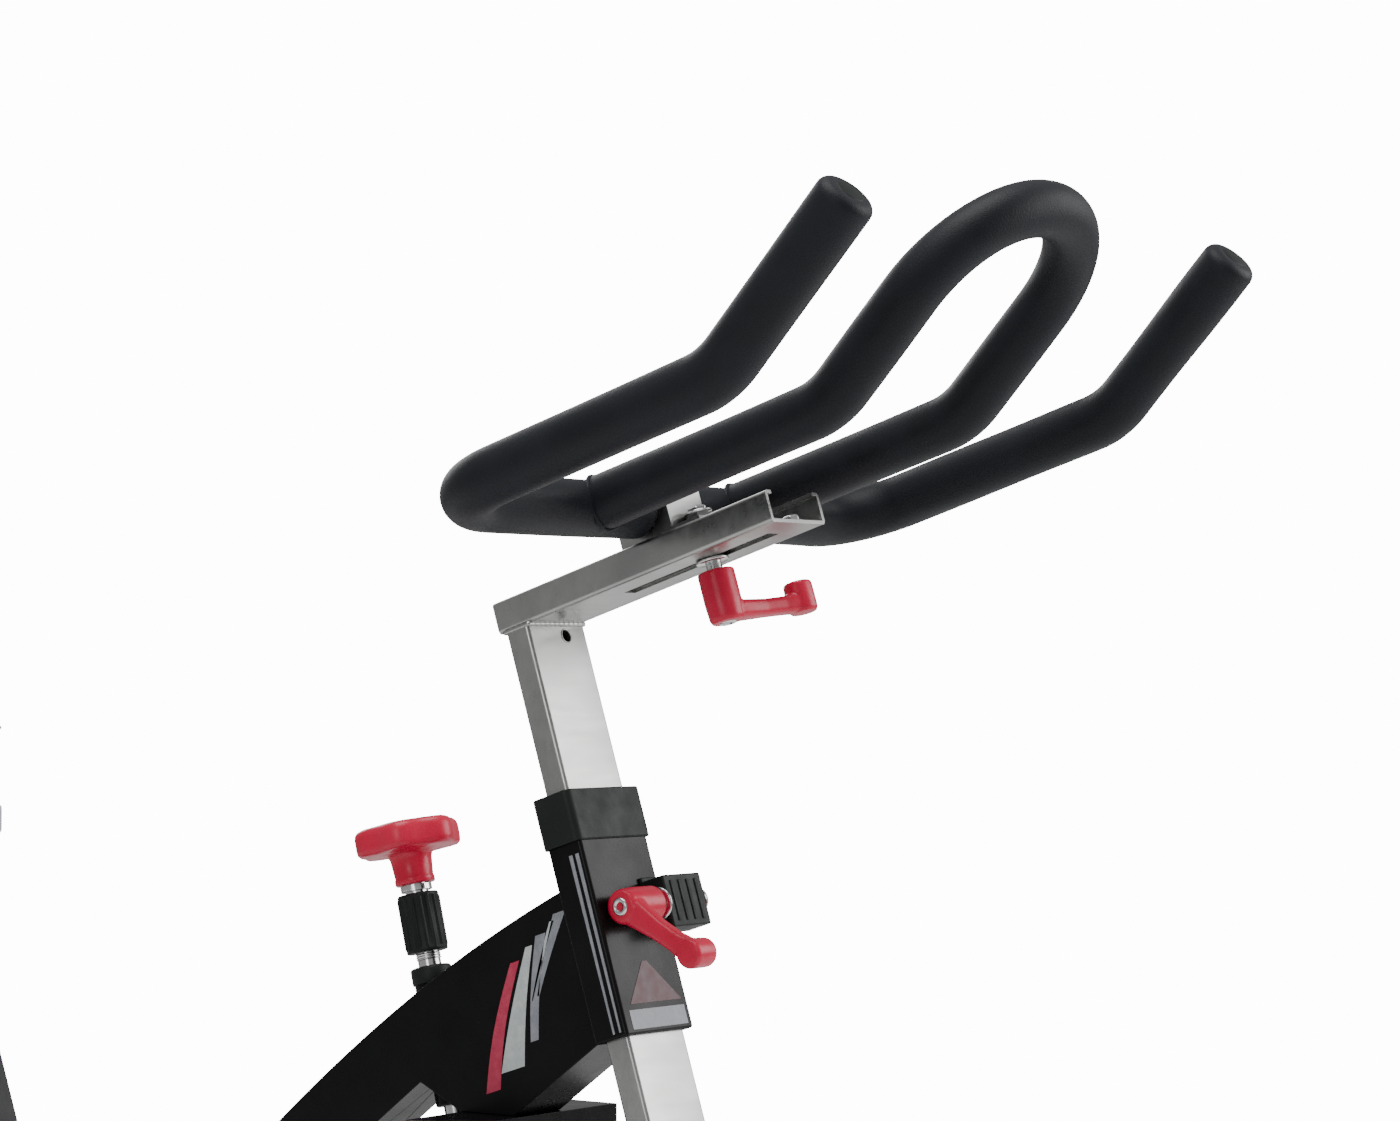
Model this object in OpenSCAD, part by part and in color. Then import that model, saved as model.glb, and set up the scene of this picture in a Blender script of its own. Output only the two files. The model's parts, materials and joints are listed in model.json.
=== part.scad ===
// Indoor spin bike with a four-prong handlebar.
// +X points forward, +Y to the rider's left, +Z up. The origin lies on the floor under the
// middle of the bike's bounding box. All lengths are in millimetres.

/* [Head] */
// Backward lean of the head axis, and rise of the handlebar slider
head_lean = 17.5; // [16:0.5:19]
// Forward place of the head reference point
head_x = 250; // [248:1:252]
// Height of the head reference point
head_z = 781.5; // [778:0.5:790]
// Width of the flat posts, across the bike
post_w = 62; // [60:1:64]
// Thickness of the flat posts, fore and aft
post_t = 20; // [19:0.5:21]
// Wall of the posts and sliders
post_wall = 2; // [1.5:0.5:2.5]
// Length of the head sleeve
sleeve_len = 148; // [140:1:150]

/* [Handlebar] */
// Height of the crossbar axis over the head reference point, along the head axis
bar_t = 226.3; // [226:0.1:227]
// Distance of the crossbar ahead of the head axis, along the slider
bar_n = 115.4; // [112:0.1:118]
// Distance between the centre lines of the two horns
horn_spacing = 454; // [440:1:460]
// Crossbar to knee distance of a horn
horn_reach = 226; // [215:1:235]
// Knee to tip distance of a horn
horn_tip = 139; // [130:1:145]
// Upward bend of horns and loop at their knees
knee_angle = 29.8; // [25:0.1:32]
// Distance between the two legs of the centre loop
loop_spacing = 152; // [146:1:156]
// Crossbar to knee distance of the loop
loop_reach = 200; // [190:1:205]
// Knee to apex distance of the loop
loop_tip = 165; // [160:1:170]
// Outer diameter of the foam
foam_d = 38; // [36:0.5:39]
// Outer diameter of the handlebar tube
bar_d = 25; // [24:0.5:26]

/* [Seat] */
// Backward lean of the seat mast
seat_lean = 20.5; // [20:0.5:21]
// Height of the seat sleeve's mouth
seat_z = 690; // [685:1:700]
// Saddle length
saddle_len = 270; // [260:1:280]
// Saddle width at the back
saddle_w = 206; // [195:1:215]

/* [Drive] */
// Flywheel radius
flywheel_r = 220; // [205:1:222]
// Flywheel rim width
flywheel_w = 30; // [24:1:30]
// Height of the flywheel axle
hub_z = 335; // [335:1:340]
// Pitch radius of the drive pulley
drive_r = 95; // [85:1:100]
// Pitch radius of the flywheel pulley
driven_r = 27; // [25:1:29]
// Crank length, axle to axle
crank_len = 170; // [165:1:172]
// Height of the bottom bracket
bb_z = 330; // [328:1:335]

/* [Base] */
// Length of the stabilizers, across the bike
stabilizer_len = 478; // [460:1:480]
// Height of the stabilizers' undersides
foot_h = 22; // [20:1:24]
// Gap between the brake pad and the flywheel when released
pad_gap = 10; // [10:0.5:12]

/* [Hidden] */

$fn = 48;
far = 1000;

frame_black = [0.06, 0.06, 0.07];
plastic_black = [0.12, 0.13, 0.13];
foam_black = [0.14, 0.15, 0.18];
satin_steel = [0.72, 0.72, 0.70];
lever_red = [0.84, 0.12, 0.25];
iron = [0.42, 0.43, 0.45];

run_gap = 0.05;     // radial clearance of a running fit
slide_gap = 0.4;    // clearance on each side of a sliding fit
corner_r = 3;       // outside corners of the flat tubes

// Head sleeve and post, measured along the head axis from the reference point
sleeve_bottom = -103;
sleeve_top = sleeve_bottom + sleeve_len;
sleeve_wall = 3;
sleeve_w = post_w + 12;
sleeve_t = post_t + 9;
collar_bottom = 30;
collar_top = 65;
collar_lip = 3.5;
collar_face = 2;
post_bottom = -190;
slider_h = 22;
slider_w = 60;
slider_wall = 2.5;
slider_bottom = 182.5;
slider_rear = -16;
slider_front = 222;
channel_rear = 28;
channel_w = 46;
stud_slot_w = 12;
stud_r = 5;
pin_hole_r = 4.25;
pin_hole_side = 8;
head_lever_t = -20;
block_n = 27.5;
block_right = 15;
reach_lever_n = bar_n + 33;
carriage_rear = bar_n - 35;
carriage_front = bar_n + 45;
cradle_len = 44;
cradle_w = 40;

// Handlebar bends
bar_wall = 2.5;
corner_bend = 50;
knee_bend = 60;
knee_tangent = knee_bend * tan(knee_angle / 2);
foam_bore = bar_d / 2 + 0.05;
foam_start = 24;

// Seat axis runs from the bottom bracket up to the mouth of the seat sleeve
bb_x = -275;
seat_x = bb_x - (seat_z - bb_z) * tan(seat_lean);
bb_t = -(seat_z - bb_z) / cos(seat_lean);
mast_t = 46;
mast_top = -130;
seat_collar_bottom = -15;
seat_collar_top = 20;
seat_post_bottom = -262;
seat_post_top = 115;
seat_lever_t = -60;
seat_top_x = seat_x - seat_post_top * sin(seat_lean);
seat_top_z = seat_z + seat_post_top * cos(seat_lean) + 3;
seat_slider_rear = seat_top_x - 122;
seat_slider_len = 207;
saddle_travel = 40;
saddle_stud_x = seat_top_x - 70;
pivot_z = seat_top_z + slider_h + 18;
pivot_r = 11;
rail_r = 3.5;
rail_side = 22;
saddle_base_z = pivot_z + 16;
saddle_shell = 8;
saddle_nose_x = seat_top_x + 105;

// Drive
hub_x = 186.4;
belt_y = -50;
belt_w = 12;
pulley_w = 14;
belt_gap = 0.3;
belt_t = 3;
axle_r = 6;
bearing_r = 16;
spindle_r = 10;
bb_bearing_r = 18;
bb_shell_r = 25;
bb_shell_len = 78;
guard_wall = 2;
guard_inner_y = -39.5;
guard_outer_y = -62;
guard_rim = 16;
crank_in = 92;
crank_t = 14;
pedal_in = 118;
pedal_len = 92;
pedal_w = 84;
pedal_axle_r = 6;
blade_in = 66;
blade_t = 16;

// Brake: the shaft's axis passes through the flywheel's axle
brake_x = 100;
brake_z = 695;
brake_lean = atan((hub_x - brake_x) / (brake_z - hub_z));
brake_reach = norm([hub_x - brake_x, brake_z - hub_z]);
rim_t = flywheel_r - brake_reach;
shaft_r = 8;
boss_r = 13;
boss_top = 27;
guide_bottom = -70;
grip_bottom = 37;
grip_top = 78;
grip_r = 15;
neck_bottom = 85;
disc_bottom = 108;
disc_top = 128;
knob_r = 38;
knob_lobes = 6;
pad_len = 66;
pad_h = 11;
holder_h = 8;

// Beam outline: its top follows a shallow parabola behind the head
beam_w = 50;
beam_fix_x = 102;
beam_fix_z = 705;
beam_slope = 0.671;
beam_bend = 0.000696;
beam_head_x = 240;
beam_straight_x = -28;
beam_depth = 64;
beam_rear_x = -300;
crown_front = 195;
crown_rear = 142;
crown_top = 626;
crown_h = 26;

// Base
base_wall = 3;
rail_w = 50;
rail_bottom = foot_h + 40;
rail_h = 40;
rail_top = rail_bottom + rail_h;
front_foot_x = 370;
rear_foot_x = -585;
stabilizer_w = 60;
stabilizer_h = 40;
cap_len = 8;
foot_y = stabilizer_len / 2 - 24;
foot_r = 24;
foot_disc_h = 14;
wheel_r = 25;
wheel_w = 24;
wheel_y = 170;
wheel_z = 33;
wheel_x = front_foot_x + 58;

// Height of the beam's top face at a given X
function beam_top(x) =
    x > beam_straight_x
        ? beam_fix_z + beam_slope * (x - beam_fix_x) - beam_bend * pow(x - beam_fix_x, 2)
        : beam_top(beam_straight_x + 0.001)
          + (x - beam_straight_x) * (beam_slope - 2 * beam_bend * (beam_straight_x - beam_fix_x));

// ---- frames of reference ----
module in_head() {
    translate([head_x, 0, head_z]) rotate([0, -head_lean, 0]) children();
}

module in_seat() {
    translate([seat_x, 0, seat_z]) rotate([0, -seat_lean, 0]) children();
}

module in_brake() {
    translate([brake_x, 0, brake_z]) rotate([0, -brake_lean, 0]) children();
}

// Extrudes a side-view outline, drawn as X and Z, between two Y values
module side_extrude(y_low, y_high) {
    translate([0, y_high, 0]) rotate([90, 0, 0]) linear_extrude(y_high - y_low) children();
}

module mirror_pair() {
    children();
    mirror([0, 1, 0]) children();
}

// Cylinder along +Y from y_low to y_high
module y_rod(radius, y_low, y_high) {
    translate([0, y_high, 0]) rotate([90, 0, 0]) cylinder(r = radius, h = y_high - y_low);
}

module round_rect(size_x, size_y, radius) {
    square([size_x - 2 * radius, size_y], center = true);
    square([size_x, size_y - 2 * radius], center = true);
    for (sx = [-1, 1], sy = [-1, 1])
        translate([sx * (size_x / 2 - radius), sy * (size_y / 2 - radius)]) circle(r = radius);
}

module flat_tube(size_x, size_y, wall, length) {
    linear_extrude(length) difference() {
        round_rect(size_x, size_y, corner_r);
        square([size_x - 2 * wall, size_y - 2 * wall], center = true);
    }
}

// ---- frame ----
module head_sleeve_outer() {
    in_head() translate([0, 0, sleeve_bottom])
        linear_extrude(sleeve_len) square([sleeve_t, sleeve_w], center = true);
}

module mast_outer() {
    in_seat() translate([0, 0, -far]) linear_extrude(far + mast_top)
        square([mast_t, sleeve_w], center = true);
}

// Side outline of the beam, drawn in from its edges by a wall thickness
module beam_outline(wall) {
    step = 20;
    top = [for (x = [beam_head_x : -step : beam_straight_x]) [x, beam_top(x) - wall]];
    polygon(concat(top, [
        [beam_rear_x, beam_top(beam_rear_x) - wall],
        [beam_rear_x, beam_top(beam_rear_x) - beam_depth + wall],
        [beam_straight_x, beam_top(beam_straight_x) - beam_depth + wall],
        [brake_x + 6, beam_top(brake_x + 6) - beam_depth + wall],
        [crown_rear, crown_top + wall],
        [crown_front - 6 - wall / 2, crown_top + wall],
        [beam_head_x + 25, head_z - 100 + wall],
        [beam_head_x + 25, head_z]]));
}

module main_beam() {
    wall = 3;
    color(frame_black) difference() {
        side_extrude(-beam_w / 2, beam_w / 2) beam_outline(0);
        difference() {
            side_extrude(-beam_w / 2 + wall, beam_w / 2 - wall) beam_outline(wall + 1);
            in_head() translate([-sleeve_t / 2 - wall, -beam_w, -far]) cube([far, 2 * beam_w, 2 * far]);
        }
        head_sleeve_outer();
        in_head() translate([0, -beam_w, -far]) cube([far, 2 * beam_w, 2 * far]);
        in_seat() translate([-far, -far, -far]) cube([far, 2 * far, 2 * far]);
        mast_outer();
        in_brake() translate([0, 0, guide_bottom - 60]) cylinder(r = boss_r, h = 200);
    }
}

module head_sleeve() {
    color(frame_black) in_head() translate([0, 0, sleeve_bottom])
        flat_tube(sleeve_t, sleeve_w, sleeve_wall, sleeve_len);
}

module fork_crown() {
    color(frame_black) difference() {
        translate([crown_rear, -blade_in - blade_t, crown_top - crown_h])
            cube([crown_front - crown_rear, 2 * (blade_in + blade_t), crown_h]);
        in_brake() translate([0, 0, -far / 2]) cylinder(r = grip_r, h = far);
    }
}

module fork_blades() {
    top_z = crown_top - crown_h;
    hub_half = 26;
    boss = 34;
    color(frame_black) mirror_pair() difference() {
        side_extrude(-blade_in - blade_t, -blade_in) {
            polygon([[crown_rear, top_z], [hub_x - hub_half, hub_z],
                     [front_foot_x - 30, rail_bottom], [front_foot_x + 22, rail_bottom],
                     [hub_x + hub_half, hub_z + 18], [crown_front, top_z]]);
            translate([hub_x, hub_z]) circle(r = boss);
        }
        translate([hub_x, 0, hub_z]) y_rod(axle_r + run_gap, -far / 2, far / 2);
    }
}

module base_rail() {
    length = front_foot_x - rear_foot_x + stabilizer_w;
    color(frame_black) translate([rear_foot_x - stabilizer_w / 2, 0, rail_bottom + rail_h / 2])
        rotate([0, 90, 0]) flat_tube(rail_h, rail_w, base_wall, length);
}

module seat_mast() {
    bore_depth = -seat_post_bottom + 86;
    color(frame_black) difference() {
        union() {
            difference() {
                in_seat() {
                    translate([0, 0, -far]) linear_extrude(far + mast_top)
                        square([mast_t, sleeve_w], center = true);
                    translate([0, 0, mast_top - 1]) linear_extrude(-mast_top + 1)
                        square([sleeve_t, sleeve_w], center = true);
                    translate([-sleeve_t / 2 - 5, 0, seat_lever_t]) rotate([0, 90, 0])
                        cylinder(r = 11, h = 6);
                }
                translate([-far, -far, rail_top - 2 * far]) cube([2 * far, 2 * far, 2 * far]);
            }
            translate([bb_x, 0, bb_z]) y_rod(bb_shell_r, -bb_shell_len / 2, bb_shell_len / 2);
        }
        in_seat() {
            translate([0, 0, -bore_depth]) linear_extrude(far)
                square([sleeve_t - 2 * sleeve_wall, sleeve_w - 2 * sleeve_wall], center = true);
            translate([-60, 0, seat_lever_t]) rotate([0, 90, 0])
                cylinder(r = stud_r + run_gap, h = 60);
        }
        translate([bb_x, 0, bb_z]) y_rod(bb_bearing_r, -far / 2, far / 2);
    }
}

module rear_stay() {
    color(frame_black) difference() {
        side_extrude(-20, 20) polygon([[bb_x - 10, 395], [bb_x - 10, 350],
                                       [rear_foot_x + 8, rail_top], [rear_foot_x - 28, rail_top]]);
        mast_outer();
        translate([bb_x, 0, bb_z]) y_rod(bb_shell_r, -far / 2, far / 2);
        in_seat() translate([0, -far / 2, -far]) cube([far, far, 2 * far]);
    }
}

module stabilizer(x) {
    color(frame_black) translate([x, 0, foot_h]) difference() {
        translate([0, stabilizer_len / 2 - cap_len, stabilizer_h / 2]) rotate([90, 0, 0])
            flat_tube(stabilizer_w, stabilizer_h, base_wall, stabilizer_len - 2 * cap_len);
        for (side = [-1, 1])
            translate([0, side * foot_y, -1]) cylinder(r = 5.3, h = 30);
    }
}

module front_stabilizer() {
    stabilizer(front_foot_x);
}

module rear_stabilizer() {
    stabilizer(rear_foot_x);
}

module stabilizer_end_caps() {
    color(plastic_black)
        for (x = [front_foot_x, rear_foot_x])
            mirror_pair() translate([x, -stabilizer_len / 2, foot_h + stabilizer_h / 2])
                rotate([-90, 0, 0]) linear_extrude(cap_len)
                    round_rect(stabilizer_w + 2, stabilizer_h + 1, 6);
}

module levelling_foot(x, side) {
    color(plastic_black) translate([x, side * foot_y, 0]) {
        cylinder(r1 = foot_r, r2 = foot_r - 3, h = foot_disc_h);
        cylinder(r = 5, h = foot_h + 24);
    }
}

module foot_front_right() {
    levelling_foot(front_foot_x, -1);
}

module foot_front_left() {
    levelling_foot(front_foot_x, 1);
}

module foot_rear_right() {
    levelling_foot(rear_foot_x, -1);
}

module foot_rear_left() {
    levelling_foot(rear_foot_x, 1);
}

module transport_brackets() {
    ear = 4;
    gap = wheel_w + 3;
    front_face = front_foot_x + stabilizer_w / 2;
    color(frame_black) mirror_pair() translate([0, -wheel_y, 0]) {
        for (side = [-1, 1])
            side_extrude(side * (gap + ear) / 2 - ear / 2, side * (gap + ear) / 2 + ear / 2) {
                translate([front_face, foot_h + 6]) square([wheel_x - front_face, 22]);
                translate([wheel_x, wheel_z]) circle(r = 11);
            }
        translate([wheel_x, 0, wheel_z]) y_rod(4, -gap / 2 - 0.5, gap / 2 + 0.5);
    }
}

module transport_wheel(side) {
    color(plastic_black) translate([wheel_x, side * wheel_y, wheel_z]) rotate([90, 0, 0])
        rotate_extrude() difference() {
            translate([4 + run_gap, -wheel_w / 2]) square([wheel_r - 4 - run_gap, wheel_w]);
            for (face = [-1, 1])
                translate([9, face * wheel_w / 2 - 4]) square([9, 8]);
        }
}

module transport_wheel_right() {
    transport_wheel(-1);
}

module transport_wheel_left() {
    transport_wheel(1);
}

// Plastic bushing at the mouth of a sleeve: a thick rim outside and a liner within
module collar(bottom, top, mouth) {
    liner_gap = 0.2;
    collar_corner = 6;
    liner_depth = 30;
    difference() {
        translate([0, 0, bottom]) linear_extrude(top - bottom)
            round_rect(sleeve_t + 2 * collar_face, sleeve_w + 2 * collar_lip, collar_corner);
        translate([0, 0, bottom - 1]) linear_extrude(mouth - bottom + 1 + liner_gap)
            square([sleeve_t + liner_gap, sleeve_w + liner_gap], center = true);
        translate([0, 0, bottom - 1]) linear_extrude(top - bottom + 2)
            square([post_t + 2 * slide_gap, post_w + 2 * slide_gap], center = true);
    }
    translate([0, 0, bottom - liner_depth]) linear_extrude(mouth - bottom + liner_depth + 1) difference() {
        square([sleeve_t - 2 * sleeve_wall - liner_gap, sleeve_w - 2 * sleeve_wall - liner_gap],
               center = true);
        square([post_t + 2 * slide_gap, post_w + 2 * slide_gap], center = true);
    }
}

module post_collars() {
    color(plastic_black) {
        in_head() collar(collar_bottom, collar_top, sleeve_top);
        in_seat() collar(seat_collar_bottom, seat_collar_top, 0);
    }
}

// Block on the front of the sleeve that takes the stud of the head lever
module clamp_block() {
    front = block_n + 7.5;
    left = 57;
    height = 36;
    color(plastic_black) in_head() difference() {
        translate([sleeve_t / 2, block_right, head_lever_t - height / 2])
            cube([front - sleeve_t / 2, left - block_right, height]);
        translate([block_n, left + 1, head_lever_t]) rotate([90, 0, 0])
            cylinder(r = stud_r + run_gap, h = left);
    }
}

// ---- brake ----
module tension_boss() {
    color(frame_black) in_brake() difference() {
        translate([0, 0, guide_bottom]) cylinder(r = boss_r, h = boss_top - guide_bottom);
        translate([0, 0, guide_bottom - 1])
            cylinder(r = shaft_r + run_gap, h = boss_top - guide_bottom + 2);
    }
}

// Outline of the knob: a circle whose radius swells at each lobe
module lobed_outline() {
    lobe_depth = 4.5;
    points = 96;
    polygon([for (i = [0 : points - 1])
        let (a = i * 360 / points, r = knob_r - lobe_depth * (1 - cos(knob_lobes * a)) / 2)
        r * [cos(a), sin(a)]]);
}

module tension_knob() {
    socket = 24;
    color(lever_red) in_brake() difference() {
        union() {
            translate([0, 0, neck_bottom]) cylinder(r1 = 14, r2 = 16, h = disc_bottom - neck_bottom + 1);
            translate([0, 0, disc_bottom]) linear_extrude(disc_top - disc_bottom) lobed_outline();
        }
        translate([0, 0, neck_bottom - 1]) cylinder(r = shaft_r + run_gap, h = socket);
    }
}

module tension_shaft() {
    collar_h = 4;
    color(satin_steel) in_brake() {
        translate([0, 0, rim_t + pad_gap + pad_h + holder_h + 3])
            cylinder(r = shaft_r, h = neck_bottom + 20 - rim_t - pad_gap - pad_h - holder_h - 3);
        translate([0, 0, neck_bottom - collar_h - 1]) cylinder(r = 11, h = collar_h);
    }
}

module tension_grip() {
    ribs = 16;
    rib_r = 1.2;
    color(plastic_black) in_brake() difference() {
        union() {
            translate([0, 0, grip_bottom]) cylinder(r = grip_r - 0.6, h = grip_top - grip_bottom);
            for (i = [0 : ribs - 1])
                rotate([0, 0, i * 360 / ribs]) translate([grip_r - rib_r, 0, grip_bottom + 2])
                    cylinder(r = rib_r, h = grip_top - grip_bottom - 4, $fn = 16);
        }
        translate([0, 0, grip_bottom - 1])
            cylinder(r = shaft_r + run_gap, h = grip_top - grip_bottom + 2);
        translate([0, 0, grip_bottom - 1]) cylinder(r = 12.4, h = grip_top - grip_bottom - 2);
    }
}

module return_spring() {
    coils = 6;
    wire_r = 1;
    coil_r = 10.4;
    pitch = (grip_top - grip_bottom - 8) / coils;
    color(satin_steel) in_brake()
        for (i = [0 : coils - 1])
            translate([0, 0, grip_bottom + 2 + i * pitch])
                rotate_extrude() translate([coil_r, 0]) circle(r = wire_r, $fn = 16);
}

module brake_pad_holder() {
    bottom = rim_t + pad_gap + pad_h;
    color(satin_steel) in_brake() difference() {
        union() {
            translate([-pad_len / 2 - 2, -16, bottom]) cube([pad_len + 4, 32, holder_h]);
            translate([0, 0, bottom + holder_h - 1]) cylinder(r = 12, h = 12);
        }
        translate([0, 0, bottom + holder_h - 1 - 1]) cylinder(r = shaft_r + run_gap, h = 20);
    }
}

module brake_pad() {
    color("dimgray") in_brake() difference() {
        translate([-pad_len / 2, -13, rim_t + pad_gap - 5]) cube([pad_len, 26, pad_h + 5]);
        translate([0, 0, -brake_reach]) y_rod(flywheel_r + pad_gap, -20, 20, $fn = 96);
    }
}

// ---- flywheel and drive ----
module flywheel() {
    rim = 34;
    web = 8;
    hub_r = 28;
    color(iron) translate([hub_x, 0, hub_z]) rotate([90, 0, 0]) difference() {
        union() {
            rotate_extrude($fn = 96) {
                translate([flywheel_r - rim, -flywheel_w / 2]) square([rim, flywheel_w]);
                translate([hub_r - 2, -web]) square([flywheel_r - rim - hub_r + 4, 2 * web]);
            }
            translate([0, 0, -48]) cylinder(r = hub_r, h = 90);
        }
        translate([0, 0, -far / 2]) cylinder(r = bearing_r, h = far);
    }
}

module flywheel_pulley() {
    color(plastic_black) translate([hub_x, 0, hub_z]) difference() {
        y_rod(driven_r, belt_y - pulley_w / 2, -42);
        y_rod(bearing_r, -80, 0);
    }
}

module flywheel_bearings() {
    color(satin_steel) translate([hub_x, 0, hub_z])
        for (y = [belt_y - pulley_w / 2, 36])
            difference() {
                y_rod(bearing_r, y, y + 10);
                y_rod(axle_r + run_gap, y - 1, y + 11);
            }
}

module flywheel_axle() {
    color(satin_steel) translate([hub_x, 0, hub_z]) y_rod(axle_r, -98, 98);
}

module axle_nuts() {
    color(satin_steel) translate([hub_x, 0, hub_z]) mirror_pair() {
        nut_y = blade_in + blade_t;
        difference() {
            translate([0, -nut_y, 0]) rotate([90, 0, 0]) {
                cylinder(r = 14, h = 2);
                cylinder(r = 10.5, h = 10, $fn = 6);
            }
            y_rod(axle_r, -120, 0);
        }
    }
}

// Side outline of a loop wrapped round both pulleys, at a distance outside them
module wrap(gap_out) {
    span = hub_x - bb_x;
    drop = hub_z - bb_z;
    r1 = drive_r + gap_out;
    r2 = driven_r + gap_out;
    dist = norm([span, drop]);
    leave = acos((r1 - r2) / dist);
    big_steps = 36;
    small_steps = 16;
    rear = [for (i = [0 : big_steps]) leave + (360 - 2 * leave) * i / big_steps];
    front = [for (i = [0 : small_steps]) -leave + 2 * leave * i / small_steps];
    translate([bb_x, bb_z]) rotate(atan2(drop, span))
        polygon(concat([for (a = rear) r1 * [cos(a), sin(a)]],
                       [for (a = front) [dist, 0] + r2 * [cos(a), sin(a)]]));
}

module drive_belt() {
    color(plastic_black) side_extrude(belt_y - belt_w / 2, belt_y + belt_w / 2) difference() {
        wrap(belt_gap + belt_t);
        wrap(belt_gap);
    }
}

module drive_pulley() {
    color(iron) translate([bb_x, 0, bb_z]) difference() {
        y_rod(drive_r, belt_y - pulley_w / 2, belt_y + pulley_w / 2, $fn = 96);
        for (i = [0 : 4])
            rotate([0, i * 72, 0]) translate([56, 0, 0]) y_rod(20, -80, 0);
        y_rod(spindle_r, -80, 0);
    }
}

module guard_inner() {
    color(plastic_black) difference() {
        side_extrude(guard_inner_y - guard_wall, guard_inner_y) wrap(guard_rim);
        translate([bb_x, 0, bb_z]) y_rod(bb_shell_r + 1, -80, 0);
        translate([hub_x, 0, hub_z]) y_rod(30, -80, 0);
    }
}

module guard_outer() {
    rim_y = guard_inner_y - guard_wall;
    color(plastic_black) difference() {
        side_extrude(guard_outer_y, rim_y) wrap(guard_rim);
        side_extrude(guard_outer_y + guard_wall, 0) wrap(guard_rim - guard_wall);
        translate([bb_x, 0, bb_z]) y_rod(spindle_r + 4, -80, 0);
        translate([hub_x, 0, hub_z]) y_rod(axle_r + 4, -80, 0);
    }
}

module bottom_bracket_bearings() {
    color(satin_steel) translate([bb_x, 0, bb_z]) mirror_pair() difference() {
        y_rod(bb_bearing_r, -bb_shell_len / 2, -bb_shell_len / 2 + 12);
        y_rod(spindle_r + run_gap, -80, 0);
    }
}

module crank_spindle() {
    color(satin_steel) translate([bb_x, 0, bb_z])
        y_rod(spindle_r, -crank_in - crank_t, crank_in + crank_t);
}

// Crank arm that starts at the spindle and points along +X, on the -Y side
module crank_arm() {
    color(satin_steel) difference() {
        union() {
            y_rod(20, -crank_in - crank_t, -crank_in + 8);
            translate([crank_len, 0, 0]) y_rod(15, -crank_in - crank_t, -crank_in);
            side_extrude(-crank_in - crank_t, -crank_in)
                polygon([[0, -17], [crank_len, -13], [crank_len, 13], [0, 17]]);
        }
        y_rod(spindle_r, -far / 2, far / 2);
        translate([crank_len, 0, 0]) y_rod(pedal_axle_r, -far / 2, far / 2);
    }
}

module crank_arm_right() {
    translate([bb_x, 0, bb_z]) crank_arm();
}

module crank_arm_left() {
    translate([bb_x, 0, bb_z]) rotate([0, 0, 180]) crank_arm();
}

module crank_bolts() {
    color(plastic_black) translate([bb_x, 0, bb_z]) mirror_pair()
        translate([0, -crank_in - crank_t - 5, 0]) y_rod(11, 0, 5);
}

module pedal_axles() {
    color(satin_steel)
        for (side = [-1, 1])
            translate([bb_x - side * crank_len, 0, bb_z]) mirror([0, side > 0 ? 1 : 0, 0])
                y_rod(pedal_axle_r, -pedal_in - pedal_len + 6, -crank_in);
}

// Pedal on the -Y side, centred on its axle
module pedal() {
    axle_wall = 5;
    frame_h = 18;
    color(plastic_black) difference() {
        union() {
            y_rod(pedal_axle_r + axle_wall, -pedal_in - pedal_len, -pedal_in);
            translate([-pedal_w / 2, -pedal_in - pedal_len, -frame_h / 2])
                difference() {
                    cube([pedal_w, pedal_len, frame_h]);
                    translate([8, 10, -1]) cube([pedal_w / 2 - 22, pedal_len - 20, frame_h + 2]);
                    translate([pedal_w / 2 + 14, 10, -1])
                        cube([pedal_w / 2 - 22, pedal_len - 20, frame_h + 2]);
                }
        }
        y_rod(pedal_axle_r + run_gap, -pedal_in - pedal_len + 5, 0);
    }
}

// Toe cage: an arch over the front of the pedal, with a strap across
module toe_cage() {
    cage_h = 62;
    bar = 5;
    front = pedal_w / 2;
    low = -9;
    color(plastic_black) {
        side_extrude(-pedal_in - pedal_len / 2 - 12, -pedal_in - pedal_len / 2 + 12)
            polygon([[front, low], [front + 26, low + 6], [front + 34, low + 26],
                     [front + 12, cage_h], [front - 14, cage_h + 4], [front - 14, cage_h - 1],
                     [front + 9, cage_h - 5], [front + 28, low + 25], [front + 22, low + 11],
                     [front, low + bar]]);
        difference() {
            translate([front - 26, -pedal_in - pedal_len - 3, -9])
                cube([14, pedal_len + 6, cage_h + 9]);
            translate([front - 27, -pedal_in - pedal_len, -10])
                cube([16, pedal_len, cage_h + 7]);
        }
    }
}

module pedal_right() {
    translate([bb_x + crank_len, 0, bb_z]) pedal();
}

module pedal_left() {
    translate([bb_x - crank_len, 0, bb_z]) mirror([0, 1, 0]) pedal();
}

module toe_cage_right() {
    translate([bb_x + crank_len, 0, bb_z]) toe_cage();
}

module toe_cage_left() {
    translate([bb_x - crank_len, 0, bb_z]) mirror([0, 1, 0]) toe_cage();
}

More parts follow.
